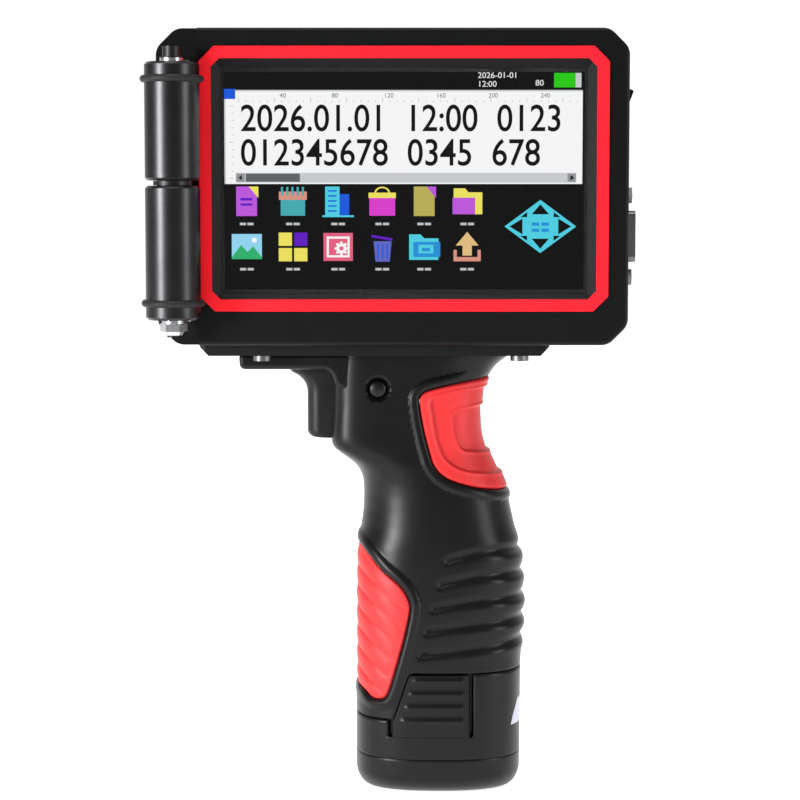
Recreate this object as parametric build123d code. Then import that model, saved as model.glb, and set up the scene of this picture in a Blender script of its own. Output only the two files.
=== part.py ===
from build123d import *
import math
import os

# Handheld date code inkjet printer, in millimetres.
# Origin: centre of the battery's flat bottom. +Z up, screen towards -Y, printing face towards -X,
# connectors towards +X. The handle's mid-plane is y = 0.

# --- head -------------------------------------------------------------------
HEAD_LEFT = -85.0
HEAD_RIGHT = 57.0
HEAD_BOTTOM = 142.0
HEAD_TOP = 237.0
HEAD_HALF_DEPTH = 34.0
HEAD_WALL = 2.5
FACE_WALL = 3.0
CORNER_CHAMFER = 6.0
CORNER_ROUND = 5.0
FACE_EDGE_ROUND = 1.2
ROLLER_RECESS_X = -72.4
ROLLER_RECESS_Y = 30.0

# --- display ----------------------------------------------------------------
SCREEN_X = -10.5
SCREEN_Z = 191.4
SCREEN_OPENING = (110.0, 67.8)
BEZEL_MOUTH = (115.5, 72.0)
BEZEL_DEPTH = 2.2
RING_CENTRE = (-10.5, 191.9)
RING_SIZE = (122.7, 79.2)
RING_WIDTH = 3.6
RING_CHAMFER = 4.5
RING_INNER_CHAMFER = 2.5
RING_SUNK = 1.0
RING_PROUD = 0.5
GLASS_SIZE = (114.0, 71.8)
GLASS_THICK = 1.4
GASKET_THICK = 0.6
LCD_SIZE = (118.0, 73.6)
LCD_THICK = 5.5

# --- rollers ----------------------------------------------------------------
ROLLER_X = -79.2
ROLLER_Y = 41.2
ROLLER_R = 8.2
ROLLER_BOTTOM = 150.2
ROLLER_TOP = 226.4
ROLLER_GAP_BOTTOM = 190.0
ROLLER_GAP_TOP = 191.5
END_CHAMFER = 0.8
O_RING_SECTION = 2.2
O_RING_CENTRE_R = 8.4
O_RING_FROM_END = 4.95
AXLE_R = 2.5
RUNNING_FIT = 0.05
END_PLAY = 0.1
BRACKET_SHEET = 1.0
LUG_WIDTH = 7.0
WEB_WIDTH = 8.4
NUT_ACROSS_FLATS = 7.0
NUT_HEIGHT = 3.5

# --- cartridge --------------------------------------------------------------
BAY_HALF_WIDTH = 13.1
BAY_BOTTOM = 153.6
BAY_TOP = 226.4
BAY_END = -12.0
BAY_WALL = 1.2
BAY_PLAY = 0.4
SNOUT_REACH = 2.6
PRINT_PLANE_GAP = 1.2

# --- connectors on the +X side ----------------------------------------------
PORT_Y = -18.0
DSUB_Z = 174.6
DSUB_SHELL = (8.4, 16.3)
DSUB_STAND_OUT = 3.1
JACK_SPACING = 24.99
JACK_HEX = 4.75
JACK_STAND_OUT = 2.2
JACK_THREAD_R = 1.42
SWITCH_Z = 215.4
ROCKER_R = 4.0
ROCKER_WIDTH = 10.0
ROCKER_TILT = 10.0
ROCKER_PLAY = 0.3

# --- plate between head and handle ------------------------------------------
PLATE_BOTTOM = 138.3
PLATE_LEFT = -72.9
PLATE_RIGHT = 33.9
PLATE_HALF_DEPTH = 26.0
PLATE_CHAMFER = 2.8
PLATE_SCREW_X = (-53.9, 24.9)
PLATE_SCREW_Y = 22.0
WIRE_HOLE_X = -8.0
WIRE_HOLE_R = 7.0

# --- grip: height, front x, rear x, half depth, corner radius ------------------
GRIP_SECTIONS = (
    (6.0, -25.6, 26.3, 22.0, 13.0),
    (22.0, -25.6, 26.6, 22.0, 13.0),
    (45.0, -25.7, 27.2, 22.0, 13.0),
    (62.0, -25.6, 27.6, 21.8, 13.0),
    (75.0, -25.2, 26.8, 21.3, 13.0),
    (84.0, -23.8, 24.4, 20.6, 13.0),
    (92.0, -23.1, 22.4, 20.0, 13.0),
    (98.0, -23.3, 20.6, 19.4, 13.0),
    (102.0, -25.0, 18.9, 19.0, 13.0),
    (106.0, -29.4, 17.0, 18.6, 13.0),
    (110.0, -32.6, 15.4, 18.2, 13.0),
    (115.0, -32.9, 14.4, 17.9, 13.0),
    (122.0, -32.5, 14.2, 17.7, 13.0),
    (130.0, -32.5, 15.8, 17.6, 13.0),
    (134.5, -32.5, 18.6, 17.6, 13.0),
    (138.3, -32.5, 24.6, 17.6, 13.0),
)
GRIP_SPAN = 4.4
GRIP_WALL = 2.6
GRIP_POST_R = 4.4
BASE_ROUND = 5.0
PAD_THICK = 1.6
OVERHANG_FRONT = -61.6
OVERHANG_BOTTOM = 133.4
OVERHANG_HALF_DEPTH = 15.0

# Outlines of the soft pads on the near side, as (x, z); the curves are drawn through them.
UPPER_PAD_TOP = ((19.0, 131.5), (13.6, 130.4), (4.0, 128.9), (-4.0, 126.9))
UPPER_PAD_FRONT = ((-5.8, 123.4), (-4.2, 115.0), (-2.4, 107.4), (2.8, 100.6), (11.5, 97.0), (26.0, 95.4))
LOWER_PAD = ((-30.0, 81.0), (-24.7, 78.3), (-17.9, 71.4), (-11.7, 66.1), (-8.7, 59.6), (-10.5, 49.9),
             (-13.3, 39.8), (-16.4, 31.6), (-21.0, 30.4), (-30.0, 35.0))

# --- trigger and side button ------------------------------------------------
TRIGGER_BOTTOM = 110.9
TRIGGER_TOP = 132.7
TRIGGER_FACE = -41.3
TRIGGER_NOSE = -46.4
TRIGGER_BACK = -27.5
TRIGGER_HALF_WIDTH = 7.5
TRIGGER_PLAY = 0.3
TRIGGER_TRAVEL = 6.0
SPRING_Z = 125.0
SPRING_R = 3.0
SPRING_WIRE = 0.35
SPRING_SEAT_X = -11.0
SPRING_TURNS = 6
BUTTON_X = -18.6
BUTTON_Z = 127.4
BUTTON_R = 2.65
BUTTON_RECESS_R = 3.8
BUTTON_FACE_Y = -17.4
BUTTON_TRAVEL = 1.2

# --- battery ------------------------------------------------------------------
BATTERY_X = 0.45
CORE_SIZE = (40.0, 37.4)
CORE_ROUND = 6.0
CORE_WALL = 1.2
CORE_TOP = 76.0
CORE_PLAY = 0.35
CAP_SEAM = 11.9
STEP_LOW = 24.4
STEP_HIGH = 39.2
STEP_GAP = 0.4
STEP_FOOT_X = -13.7
STEP_HEAD_X = -9.4
TAB_HINGE_Z = 18.7
TAB_LEFT = -14.4
TAB_RIGHT = 10.0
TAB_SLOT = 1.2
TAB_INNER_Y = 20.2
CELL_R = 9.2
CELL_LENGTH = 65.0
CELL_BOTTOM = 9.4

SIDES = (("near", -1), ("far", 1))


# --- helpers ------------------------------------------------------------------
def block(x0, x1, y0, y1, z0, z1):
    """A box between two corners."""
    size = Box(abs(x1 - x0), abs(y1 - y0), abs(z1 - z0))
    return Pos((x0 + x1) / 2, (y0 + y1) / 2, (z0 + z1) / 2) * size


def rod_x(y, z, x0, x1, r):
    return Pos((x0 + x1) / 2, y, z) * Rot(0, 90, 0) * Cylinder(r, abs(x1 - x0))


def rod_y(x, z, y0, y1, r):
    return Pos(x, (y0 + y1) / 2, z) * Rot(90, 0, 0) * Cylinder(r, abs(y1 - y0))


def rod_z(x, y, z0, z1, r):
    return Pos(x, y, (z0 + z1) / 2) * Cylinder(r, abs(z1 - z0))


def along_y(face, y0, y1):
    """Extrude a face drawn in (x, z) from y0 to y1."""
    plane = Plane(origin=(0, y1, 0), x_dir=(1, 0, 0), z_dir=(0, -1, 0))
    return extrude(plane * face, amount=y1 - y0)


def along_x(face, x0, x1):
    """Extrude a face drawn in (y, z) from x0 to x1."""
    plane = Plane(origin=(x0, 0, 0), x_dir=(0, 1, 0), z_dir=(1, 0, 0))
    return extrude(plane * face, amount=x1 - x0)


def outline(points):
    return make_face(Polyline(*points, close=True))


def cut_corner_panel(centre, size, cut):
    """A rectangle in (x, z) with 45 degree corners."""
    return Pos(centre[0], centre[1]) * chamfer(Rectangle(*size).vertices(), cut)


def half(side, reach=120.0):
    """Everything on one side of the mid-plane."""
    return block(-200, 200, 0, side * reach, -50, 300)


def save(name, shape):
    export_step(shape, "parts/" + name + ".step")


# --- head shells ------------------------------------------------------------
HEAD_CENTRE = ((HEAD_LEFT + HEAD_RIGHT) / 2, (HEAD_BOTTOM + HEAD_TOP) / 2)
HEAD_SIZE = (HEAD_RIGHT - HEAD_LEFT, HEAD_TOP - HEAD_BOTTOM)
HEAD_SCREWS = [(x, z) for x in (-64.0, 48.0) for z in (148.4, 231.2)]
SCREEN_CENTRE = (SCREEN_X, SCREEN_Z)
BEZEL_BACK = -HEAD_HALF_DEPTH + BEZEL_DEPTH


def head_outline(inset):
    size = (HEAD_SIZE[0] - 2 * inset, HEAD_SIZE[1] - 2 * inset)
    corner = CORNER_CHAMFER - inset * (2 - math.sqrt(2))
    face = cut_corner_panel(HEAD_CENTRE, size, corner)
    return fillet(face.vertices(), CORNER_ROUND)


def hollow_head():
    body = along_y(head_outline(0), -HEAD_HALF_DEPTH, HEAD_HALF_DEPTH)
    rims = body.faces().sort_by(Axis.Y)[0].edges() + body.faces().sort_by(Axis.Y)[-1].edges()
    body = fillet(rims, FACE_EDGE_ROUND)
    inner = HEAD_HALF_DEPTH - FACE_WALL
    cavity = along_y(head_outline(HEAD_WALL), -inner, inner)
    for side in (-1, 1):
        corner_wall = ROLLER_RECESS_Y - HEAD_WALL
        cavity -= block(HEAD_LEFT, ROLLER_RECESS_X + HEAD_WALL, side * corner_wall, side * 40,
                        HEAD_BOTTOM, HEAD_TOP)
        body -= block(HEAD_LEFT - 1, ROLLER_RECESS_X, side * ROLLER_RECESS_Y, side * 40,
                      HEAD_BOTTOM - 1, HEAD_TOP + 1)
    body -= cavity
    return body


def head_bosses(side, post_r, screw_r):
    """Round posts for the case screws and, below, for the plate screws."""
    inner = side * (HEAD_HALF_DEPTH - FACE_WALL / 2)
    posts = Part()
    for x, z in HEAD_SCREWS:
        posts += rod_y(x, z, 0, inner, post_r) - rod_y(x, z, 0, side * 20, screw_r)
    for x in PLATE_SCREW_X:
        y = side * PLATE_SCREW_Y
        posts += rod_z(x, y, HEAD_BOTTOM + HEAD_WALL / 2, 150, 3.0)
    return posts


def common_cuts(side):
    """Openings that both shells share: cartridge mouth, plate screws and wire hole."""
    cuts = block(HEAD_LEFT - 1, HEAD_LEFT + 6, 0, side * BAY_HALF_WIDTH, BAY_BOTTOM, BAY_TOP)
    for x in PLATE_SCREW_X:
        cuts += rod_z(x, side * PLATE_SCREW_Y, HEAD_BOTTOM - 1, 149, 1.5)
    cuts += rod_z(WIRE_HOLE_X, 0, HEAD_BOTTOM - 1, HEAD_BOTTOM + HEAD_WALL + 1, WIRE_HOLE_R)
    return cuts


def ring_outer():
    return cut_corner_panel(RING_CENTRE, RING_SIZE, RING_CHAMFER)


def ring_inner():
    size = (RING_SIZE[0] - 2 * RING_WIDTH, RING_SIZE[1] - 2 * RING_WIDTH)
    return cut_corner_panel(RING_CENTRE, size, RING_INNER_CHAMFER)


def trim_ring():
    face_y = -HEAD_HALF_DEPTH
    ring = along_y(ring_outer() - ring_inner(), face_y - RING_PROUD, face_y + RING_SUNK)
    return ring


def bezel_opening():
    """A funnel from the ring's inner edge down to the screen opening."""
    mouth = Plane(origin=(0, -HEAD_HALF_DEPTH - 0.01, 0), x_dir=(1, 0, 0), z_dir=(0, -1, 0))
    throat = Plane(origin=(0, BEZEL_BACK, 0), x_dir=(1, 0, 0), z_dir=(0, -1, 0))
    wide = mouth * Pos(SCREEN_X, RING_CENTRE[1]) * Rectangle(*BEZEL_MOUTH)
    narrow = throat * Pos(*SCREEN_CENTRE) * Rectangle(*SCREEN_OPENING)
    return loft([wide, narrow])


def dsub_outline(grow=0.0):
    """D-shaped outline in (y, z), long way up."""
    width = DSUB_SHELL[0] / 2 + grow
    height = DSUB_SHELL[1] / 2 + grow
    slope = 1.4
    points = ((-width, -height), (width, -height + slope), (width, height - slope), (-width, height))
    face = outline(points)
    return Pos(PORT_Y, DSUB_Z) * fillet(face.vertices(), 1.8)


def head_front_shell():
    front = -HEAD_HALF_DEPTH
    shell = hollow_head() & half(-1)
    shell += head_bosses(-1, 3.0, 1.5)
    shell -= common_cuts(-1)
    shell -= bezel_opening()
    glass_pocket = Pos(*SCREEN_CENTRE) * Rectangle(GLASS_SIZE[0] + 0.4, GLASS_SIZE[1] + 0.4)
    shell -= along_y(glass_pocket, BEZEL_BACK, front + FACE_WALL + 1)
    shell -= along_y(ring_outer() - ring_inner(), front - 1, front + RING_SUNK)
    wall = HEAD_RIGHT - HEAD_WALL
    shell -= along_x(dsub_outline(0.2), wall - 1, HEAD_RIGHT + 1)
    for z in (DSUB_Z - JACK_SPACING / 2, DSUB_Z + JACK_SPACING / 2):
        shell -= rod_x(PORT_Y, z, wall - 1, HEAD_RIGHT + 1, 2.9)
    shell -= block(wall - 1, HEAD_RIGHT + 1, PORT_Y - 5.9, PORT_Y + 5.9, SWITCH_Z - 5.0, SWITCH_Z + 5.0)
    return shell


def head_rear_shell():
    shell = hollow_head() & half(1)
    shell += head_bosses(1, 4.2, 1.6)
    shell -= common_cuts(1)
    outer = HEAD_HALF_DEPTH
    for x, z in HEAD_SCREWS:
        shell -= rod_y(x, z, 0, outer + 1, 1.6)
        shell -= rod_y(x, z, outer - 2.6, outer + 1, 3.0)
    for row in range(7):
        slot = Pos(26, 176 + 5 * row) * SlotOverall(26, 2.0)
        shell -= along_y(slot, outer - 5, outer + 1)
    return shell


def head_screws():
    screws = Part()
    for x, z in HEAD_SCREWS:
        screw = rod_y(x, z, -18, HEAD_HALF_DEPTH - 2.6, 1.5)
        head = rod_y(x, z, HEAD_HALF_DEPTH - 2.6, HEAD_HALF_DEPTH - 0.2, 2.8)
        socket = along_y(Pos(x, z) * RegularPolygon(1.3, 6), HEAD_HALF_DEPTH - 1.6, HEAD_HALF_DEPTH)
        screws += screw + head - socket
    return screws


# --- display stack ----------------------------------------------------------
def touch_glass():
    pane = Pos(*SCREEN_CENTRE) * RectangleRounded(*GLASS_SIZE, 1.0)
    return along_y(pane, BEZEL_BACK, BEZEL_BACK + GLASS_THICK)


def display_gasket():
    back = BEZEL_BACK + GLASS_THICK
    frame = Rectangle(*GLASS_SIZE) - Rectangle(GLASS_SIZE[0] - 4, GLASS_SIZE[1] - 4)
    return along_y(Pos(*SCREEN_CENTRE) * frame, back, back + GASKET_THICK)


def lcd_module():
    front = BEZEL_BACK + GLASS_THICK + GASKET_THICK
    body = along_y(Pos(*SCREEN_CENTRE) * Rectangle(*LCD_SIZE), front, front + LCD_THICK)
    window = along_y(Pos(*SCREEN_CENTRE) * Rectangle(108.6, 65.4), front, front + 0.4)
    return body - window


def main_board():
    board = block(-60, 38, -20.0, -18.4, 153, 229)
    for x, z, width, height in ((-30, 190, 14, 14), (-8, 176, 10, 12), (16, 205, 16, 8), (-44, 168, 8, 8)):
        board += block(x - width / 2, x + width / 2, -18.4, -16.8, z - height / 2, z + height / 2)
    return board


def speaker():
    cone = rod_y(26, 191, 27.6, HEAD_HALF_DEPTH - FACE_WALL, 15.0)
    return cone + rod_y(26, 191, 23.0, 27.6, 8.0)


def encoder_sensor():
    board = block(ROLLER_X - 2.8, ROLLER_X + 6, 25.9, ROLLER_RECESS_Y - HEAD_WALL, 164, 180)
    return board + block(ROLLER_X - 2, ROLLER_X + 2, 24.4, 25.9, 170, 174)


# --- cartridge --------------------------------------------------------------
CART_HALF = BAY_HALF_WIDTH - BAY_WALL - BAY_PLAY
CART_BOTTOM = BAY_BOTTOM + BAY_WALL + BAY_PLAY
CART_TOP = BAY_TOP - BAY_WALL - BAY_PLAY
CART_FRONT = HEAD_LEFT + 0.4
CONTACT_X = BAY_END - BAY_WALL - 1.2
PRINT_PLANE = ROLLER_X - O_RING_CENTRE_R - O_RING_SECTION / 2


def cartridge_bay():
    bay = block(HEAD_LEFT, BAY_END, -BAY_HALF_WIDTH, BAY_HALF_WIDTH, BAY_BOTTOM, BAY_TOP)
    inner = BAY_HALF_WIDTH - BAY_WALL
    bay -= block(HEAD_LEFT - 1, BAY_END - BAY_WALL, -inner, inner, BAY_BOTTOM + BAY_WALL, BAY_TOP - BAY_WALL)
    return bay


def cartridge_contacts():
    return block(CONTACT_X, BAY_END - BAY_WALL, -8, 8, 175, 205)


def ink_cartridge():
    body = block(CART_FRONT, CONTACT_X - 0.5, -CART_HALF, CART_HALF, CART_BOTTOM, CART_TOP)
    body = fillet(body.edges().filter_by(Axis.X), 1.5)
    snout = block(PRINT_PLANE + PRINT_PLANE_GAP, CART_FRONT + 4, -8, 8, 160, 190)
    snout = chamfer(snout.faces().sort_by(Axis.X)[0].edges(), 1.0)
    grips = Part()
    for row in range(5):
        z = 200 + 4 * row
        grips += block(CART_FRONT - 0.8, CART_FRONT + 1, -7, 7, z, z + 1.6)
    return body + snout + grips


def nozzle_plate():
    face = PRINT_PLANE + PRINT_PLANE_GAP
    return block(face - 0.25, face, -4, 4, 163, 187)


# --- connectors -------------------------------------------------------------
def dsub_shell():
    flange = HEAD_RIGHT - HEAD_WALL
    plate = block(flange - 0.9, flange, PORT_Y - 6.2, PORT_Y + 6.2, DSUB_Z - 15.4, DSUB_Z + 15.4)
    shell = plate + along_x(dsub_outline(), flange, HEAD_RIGHT + DSUB_STAND_OUT)
    shell += block(flange - 9, flange - 0.9, PORT_Y - 5, PORT_Y + 5, DSUB_Z - 9, DSUB_Z + 9)
    shell -= along_x(dsub_outline(-0.5), flange - 6, HEAD_RIGHT + DSUB_STAND_OUT + 1)
    for z in (DSUB_Z - JACK_SPACING / 2, DSUB_Z + JACK_SPACING / 2):
        shell -= rod_x(PORT_Y, z, flange - 2, flange + 1, 1.2)
    return shell


def dsub_insulator():
    end = HEAD_RIGHT + DSUB_STAND_OUT - 0.3
    core = along_x(dsub_outline(-0.5), HEAD_RIGHT - HEAD_WALL - 6, end)
    for row, count in ((-1.42, 5), (1.42, 4)):
        for index in range(count):
            z = DSUB_Z + 2.77 * (index - (count - 1) / 2)
            core -= rod_x(PORT_Y + row, z, end - 4, end + 1, 0.55)
    return core


def dsub_jackscrews():
    screws = Part()
    flange = HEAD_RIGHT - HEAD_WALL
    end = HEAD_RIGHT + JACK_STAND_OUT
    for z in (DSUB_Z - JACK_SPACING / 2, DSUB_Z + JACK_SPACING / 2):
        hexagon = Pos(PORT_Y, z) * RegularPolygon(JACK_HEX / 2, 6, major_radius=False)
        screw = along_x(hexagon, flange, end) + rod_x(PORT_Y, z, flange - 4, flange, 1.2)
        screws += screw - rod_x(PORT_Y, z, end - 4.0, end + 1, JACK_THREAD_R)
    return screws


ROCKER_AXIS_X = HEAD_RIGHT - 0.2


def power_switch_frame():
    body = block(44, HEAD_RIGHT, PORT_Y - 5.9, PORT_Y + 5.9, SWITCH_Z - 5.0, SWITCH_Z + 5.0)
    body += block(HEAD_RIGHT, HEAD_RIGHT + 0.7, PORT_Y - 6.9, PORT_Y + 6.9, SWITCH_Z - 6.0, SWITCH_Z + 6.0)
    reach = ROCKER_R + ROCKER_PLAY
    side = ROCKER_WIDTH / 2 + ROCKER_PLAY
    body -= block(ROCKER_AXIS_X, 60, PORT_Y - side, PORT_Y + side, SWITCH_Z - reach, SWITCH_Z + reach)
    body -= rod_y(ROCKER_AXIS_X, SWITCH_Z, PORT_Y - side, PORT_Y + side, reach)
    return body


def power_rocker():
    """A round-bellied rocker with a V-shaped face, tilted to its off position."""
    drum = Rot(90, 0, 0) * Cylinder(ROCKER_R, ROCKER_WIDTH)
    notch = outline(((1.9, 4.2), (1.1, 0.0), (1.9, -4.2), (6.0, -5.0), (6.0, 5.0)))
    rocker = drum - along_y(notch, -ROCKER_WIDTH, ROCKER_WIDTH)
    pin = Rot(90, 0, 0) * Cylinder(0.9, ROCKER_WIDTH)
    return Pos(ROCKER_AXIS_X, PORT_Y, SWITCH_Z) * Rot(0, ROCKER_TILT, 0) * (rocker + pin)


# --- rollers ----------------------------------------------------------------
LUG_TOP = ROLLER_TOP + END_PLAY
LUG_BOTTOM = ROLLER_BOTTOM - END_PLAY


def roller_bracket(side):
    """A folded C: a web on the recess and two lugs that carry the axle."""
    wall = side * ROLLER_RECESS_Y
    y = side * ROLLER_Y
    web = block(ROLLER_X - WEB_WIDTH / 2, ROLLER_X + WEB_WIDTH / 2, wall, wall + side * BRACKET_SHEET,
                LUG_BOTTOM - BRACKET_SHEET, LUG_TOP + BRACKET_SHEET)
    bracket = web
    for z in (LUG_BOTTOM - BRACKET_SHEET, LUG_TOP):
        bracket += block(ROLLER_X - LUG_WIDTH / 2, ROLLER_X + LUG_WIDTH / 2, wall, y, z, z + BRACKET_SHEET)
        bracket += rod_z(ROLLER_X, y, z, z + BRACKET_SHEET, LUG_WIDTH / 2)
        bracket -= rod_z(ROLLER_X, y, z - 1, z + 2, 2.0)
    return bracket


def roller_axle(side):
    """Stepped pin: thick between the lugs, thin through them, with a collar between the rollers."""
    y = side * ROLLER_Y
    axle = rod_z(ROLLER_X, y, LUG_BOTTOM, LUG_TOP, AXLE_R)
    axle += rod_z(ROLLER_X, y, ROLLER_GAP_BOTTOM + END_PLAY, ROLLER_GAP_TOP - END_PLAY, 5.8)
    axle += rod_z(ROLLER_X, y, LUG_TOP, LUG_TOP + BRACKET_SHEET, 2.0)
    axle += rod_z(ROLLER_X, y, LUG_BOTTOM - BRACKET_SHEET - NUT_HEIGHT - 0.6, LUG_BOTTOM, 2.0)
    axle -= rod_z(ROLLER_X, y, LUG_TOP - 12, LUG_TOP + 2, 1.5)
    return axle


def o_ring(side, z):
    return Pos(ROLLER_X, side * ROLLER_Y, z) * Torus(O_RING_CENTRE_R, O_RING_SECTION / 2)


def roller_sleeve(side, bottom, top, ring_z):
    sleeve = Cylinder(ROLLER_R, top - bottom)
    sleeve = chamfer(sleeve.edges().filter_by(GeomType.CIRCLE), END_CHAMFER)
    sleeve = Pos(ROLLER_X, side * ROLLER_Y, (bottom + top) / 2) * sleeve
    sleeve -= rod_z(ROLLER_X, side * ROLLER_Y, bottom - 1, top + 1, AXLE_R + RUNNING_FIT)
    return sleeve - o_ring(side, ring_z)


def axle_screw(side):
    y = side * ROLLER_Y
    seat = LUG_TOP + BRACKET_SHEET + 0.5
    screw = rod_z(ROLLER_X, y, seat - 10, seat, 1.5) + rod_z(ROLLER_X, y, seat, seat + 3.0, 2.75)
    screw -= Pos(ROLLER_X, y, seat + 1.5) * extrude(RegularPolygon(1.44, 6), 2.0)
    return screw


def axle_washer(side):
    y = side * ROLLER_Y
    bottom = LUG_TOP + BRACKET_SHEET
    return rod_z(ROLLER_X, y, bottom, bottom + 0.5, 3.5) - rod_z(ROLLER_X, y, bottom - 1, bottom + 1, 1.5)


def axle_nut(side):
    """Lock nut: a hexagon with a round collar on its free end."""
    y = side * ROLLER_Y
    top = LUG_BOTTOM - BRACKET_SHEET
    hexagon = extrude(RegularPolygon(NUT_ACROSS_FLATS / 2, 6, major_radius=False), NUT_HEIGHT - 1.1)
    collar = Cone(2.6, 3.2, 1.1, align=(Align.CENTER, Align.CENTER, Align.MIN))
    nut = Pos(ROLLER_X, y, top - NUT_HEIGHT + 1.1) * hexagon + Pos(ROLLER_X, y, top - NUT_HEIGHT) * collar
    return nut - rod_z(ROLLER_X, y, top - NUT_HEIGHT - 1, top + 1, 2.0)


# --- plate ------------------------------------------------------------------
HANDLE_SCREWS = [(x, y) for x in (-50.0, 12.0) for y in (-10.0, 10.0)]


def mounting_plate():
    plate = block(PLATE_LEFT, PLATE_RIGHT, -PLATE_HALF_DEPTH, PLATE_HALF_DEPTH, PLATE_BOTTOM, HEAD_BOTTOM)
    ends = plate.faces().sort_by(Axis.Z)[0].edges().filter_by(Axis.Y)
    plate = chamfer(ends, PLATE_CHAMFER)
    plate = fillet(plate.edges().filter_by(Axis.Z), 2.0)
    for x in PLATE_SCREW_X:
        for y in (-PLATE_SCREW_Y, PLATE_SCREW_Y):
            plate -= rod_z(x, y, PLATE_BOTTOM - 1, HEAD_BOTTOM + 1, 1.6)
    for x, y in HANDLE_SCREWS:
        plate -= rod_z(x, y, PLATE_BOTTOM - 1, HEAD_BOTTOM + 1, 1.6)
        plate -= rod_z(x, y, HEAD_BOTTOM - 2, HEAD_BOTTOM + 1, 3.0)
    return plate - rod_z(WIRE_HOLE_X, 0, PLATE_BOTTOM - 1, HEAD_BOTTOM + 1, WIRE_HOLE_R)


def plate_screws():
    screws = Part()
    for x in PLATE_SCREW_X:
        for y in (-PLATE_SCREW_Y, PLATE_SCREW_Y):
            screws += rod_z(x, y, PLATE_BOTTOM, 148.5, 1.5) + rod_z(x, y, PLATE_BOTTOM - 1.7, PLATE_BOTTOM, 2.8)
            screws -= block(x - 1.6, x + 1.6, y - 0.3, y + 0.3, PLATE_BOTTOM - 2, PLATE_BOTTOM - 1)
            screws -= block(x - 0.3, x + 0.3, y - 1.6, y + 1.6, PLATE_BOTTOM - 2, PLATE_BOTTOM - 1)
    return screws


def handle_screws():
    screws = Part()
    for x, y in HANDLE_SCREWS:
        screws += rod_z(x, y, PLATE_BOTTOM - 3.4, HEAD_BOTTOM - 2, 1.5)
        screws += rod_z(x, y, HEAD_BOTTOM - 2, HEAD_BOTTOM - 0.2, 2.8)
    return screws


# --- grip -------------------------------------------------------------------
def grip_row(z):
    """The grip's measures at one height, in line between the two nearest sections."""
    for low, high in zip(GRIP_SECTIONS, GRIP_SECTIONS[1:]):
        if z <= high[0]:
            share = (z - low[0]) / (high[0] - low[0])
            return [a + share * (b - a) for a, b in zip(low, high)]
    return GRIP_SECTIONS[-1]


def grip_section(row, inset):
    z, front, rear, depth, corner = row
    width = rear - front - 2 * inset
    face = RectangleRounded(width, 2 * (depth - inset), corner - inset)
    return Pos((front + rear) / 2, 0, z) * face


def grip_solid(inset, bottom=GRIP_SECTIONS[0][0]):
    top = GRIP_SECTIONS[-1][0]
    spans = round((top - bottom) / GRIP_SPAN)
    heights = [bottom + (top - bottom) * step / spans for step in range(spans + 1)]
    return loft([grip_section(grip_row(z), inset) for z in heights])


def grip_body():
    """The outer form of the whole grip, with the battery's base and the overhang above the trigger."""
    first = GRIP_SECTIONS[0]
    foot = extrude(grip_section(first, 0), -first[0])
    foot = fillet(foot.faces().sort_by(Axis.Z)[0].edges(), BASE_ROUND)
    body = grip_solid(0) + foot
    beak = outline(((OVERHANG_FRONT, PLATE_BOTTOM), (OVERHANG_FRONT + 0.4, OVERHANG_BOTTOM + 1.6),
                    (OVERHANG_FRONT + 2.2, OVERHANG_BOTTOM), (-34.0, OVERHANG_BOTTOM),
                    (-30.0, OVERHANG_BOTTOM - 3.0), (-18.0, OVERHANG_BOTTOM), (-18.0, PLATE_BOTTOM)))
    overhang = along_y(beak, -OVERHANG_HALF_DEPTH, OVERHANG_HALF_DEPTH)
    return body + overhang


GRIP = grip_body()
GRIP_SCREWS = ((-12.5, 105.0), (-13.0, 90.0), (12.0, 90.0))


def pad_depth():
    """The layer just under the grip's surface that the soft pads fill."""
    return GRIP - grip_solid(PAD_THICK)


def upper_pad_outline():
    top = Spline(*UPPER_PAD_TOP)
    nose = Spline(UPPER_PAD_TOP[-1], (-6.0, 125.8), UPPER_PAD_FRONT[0])
    front = Spline(*UPPER_PAD_FRONT)
    close = Polyline(UPPER_PAD_FRONT[-1], (34, 95.4), (34, 131.5), UPPER_PAD_TOP[0])
    return make_face(top + nose + front + close)


def lower_pad_outline():
    edge = Spline(*LOWER_PAD)
    close = Polyline(LOWER_PAD[-1], (-34, 35), (-34, 81), LOWER_PAD[0])
    return make_face(edge + close)


PAD_LAYER = pad_depth()


def pad(face, side):
    return PAD_LAYER & along_y(face, *sorted((0, side * 30)))


def battery_step(gap):
    """Everything of the grip that belongs to the battery, below its stepped upper edge."""
    points = ((-40, -1), (-40, STEP_LOW - gap), (STEP_FOOT_X, STEP_LOW - gap),
              (STEP_HEAD_X, STEP_HIGH - gap), (40, STEP_HIGH - gap), (40, -1))
    return along_y(outline(points), -30, 30)


def rounded_column(size, corner, z0, z1):
    return Pos(BATTERY_X, 0, z0) * extrude(RectangleRounded(*size, corner), z1 - z0)


def trigger_space():
    """The slot the trigger slides in, and the wider room for its flange behind the wall."""
    play = TRIGGER_PLAY
    width = TRIGGER_HALF_WIDTH + play
    slot = block(-36, TRIGGER_BACK + 8, -width, width, TRIGGER_BOTTOM - play, TRIGGER_TOP + play)
    room = block(-29.8, TRIGGER_BACK + 8, -9.8, 9.8, TRIGGER_BOTTOM + 1, TRIGGER_TOP - 1.2)
    return slot + room


def upper_cavity():
    cavity = grip_solid(GRIP_WALL, 84.0)
    for x, z in GRIP_SCREWS:
        cavity -= rod_y(x, z, -20, 20, GRIP_POST_R)
    cavity -= block(SPRING_SEAT_X, SPRING_SEAT_X + 2, -20, 20, 120, 131)
    for x, y in HANDLE_SCREWS:
        cavity -= rod_z(x, y, PLATE_BOTTOM - 5, PLATE_BOTTOM, 3.2)
    return cavity


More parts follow.
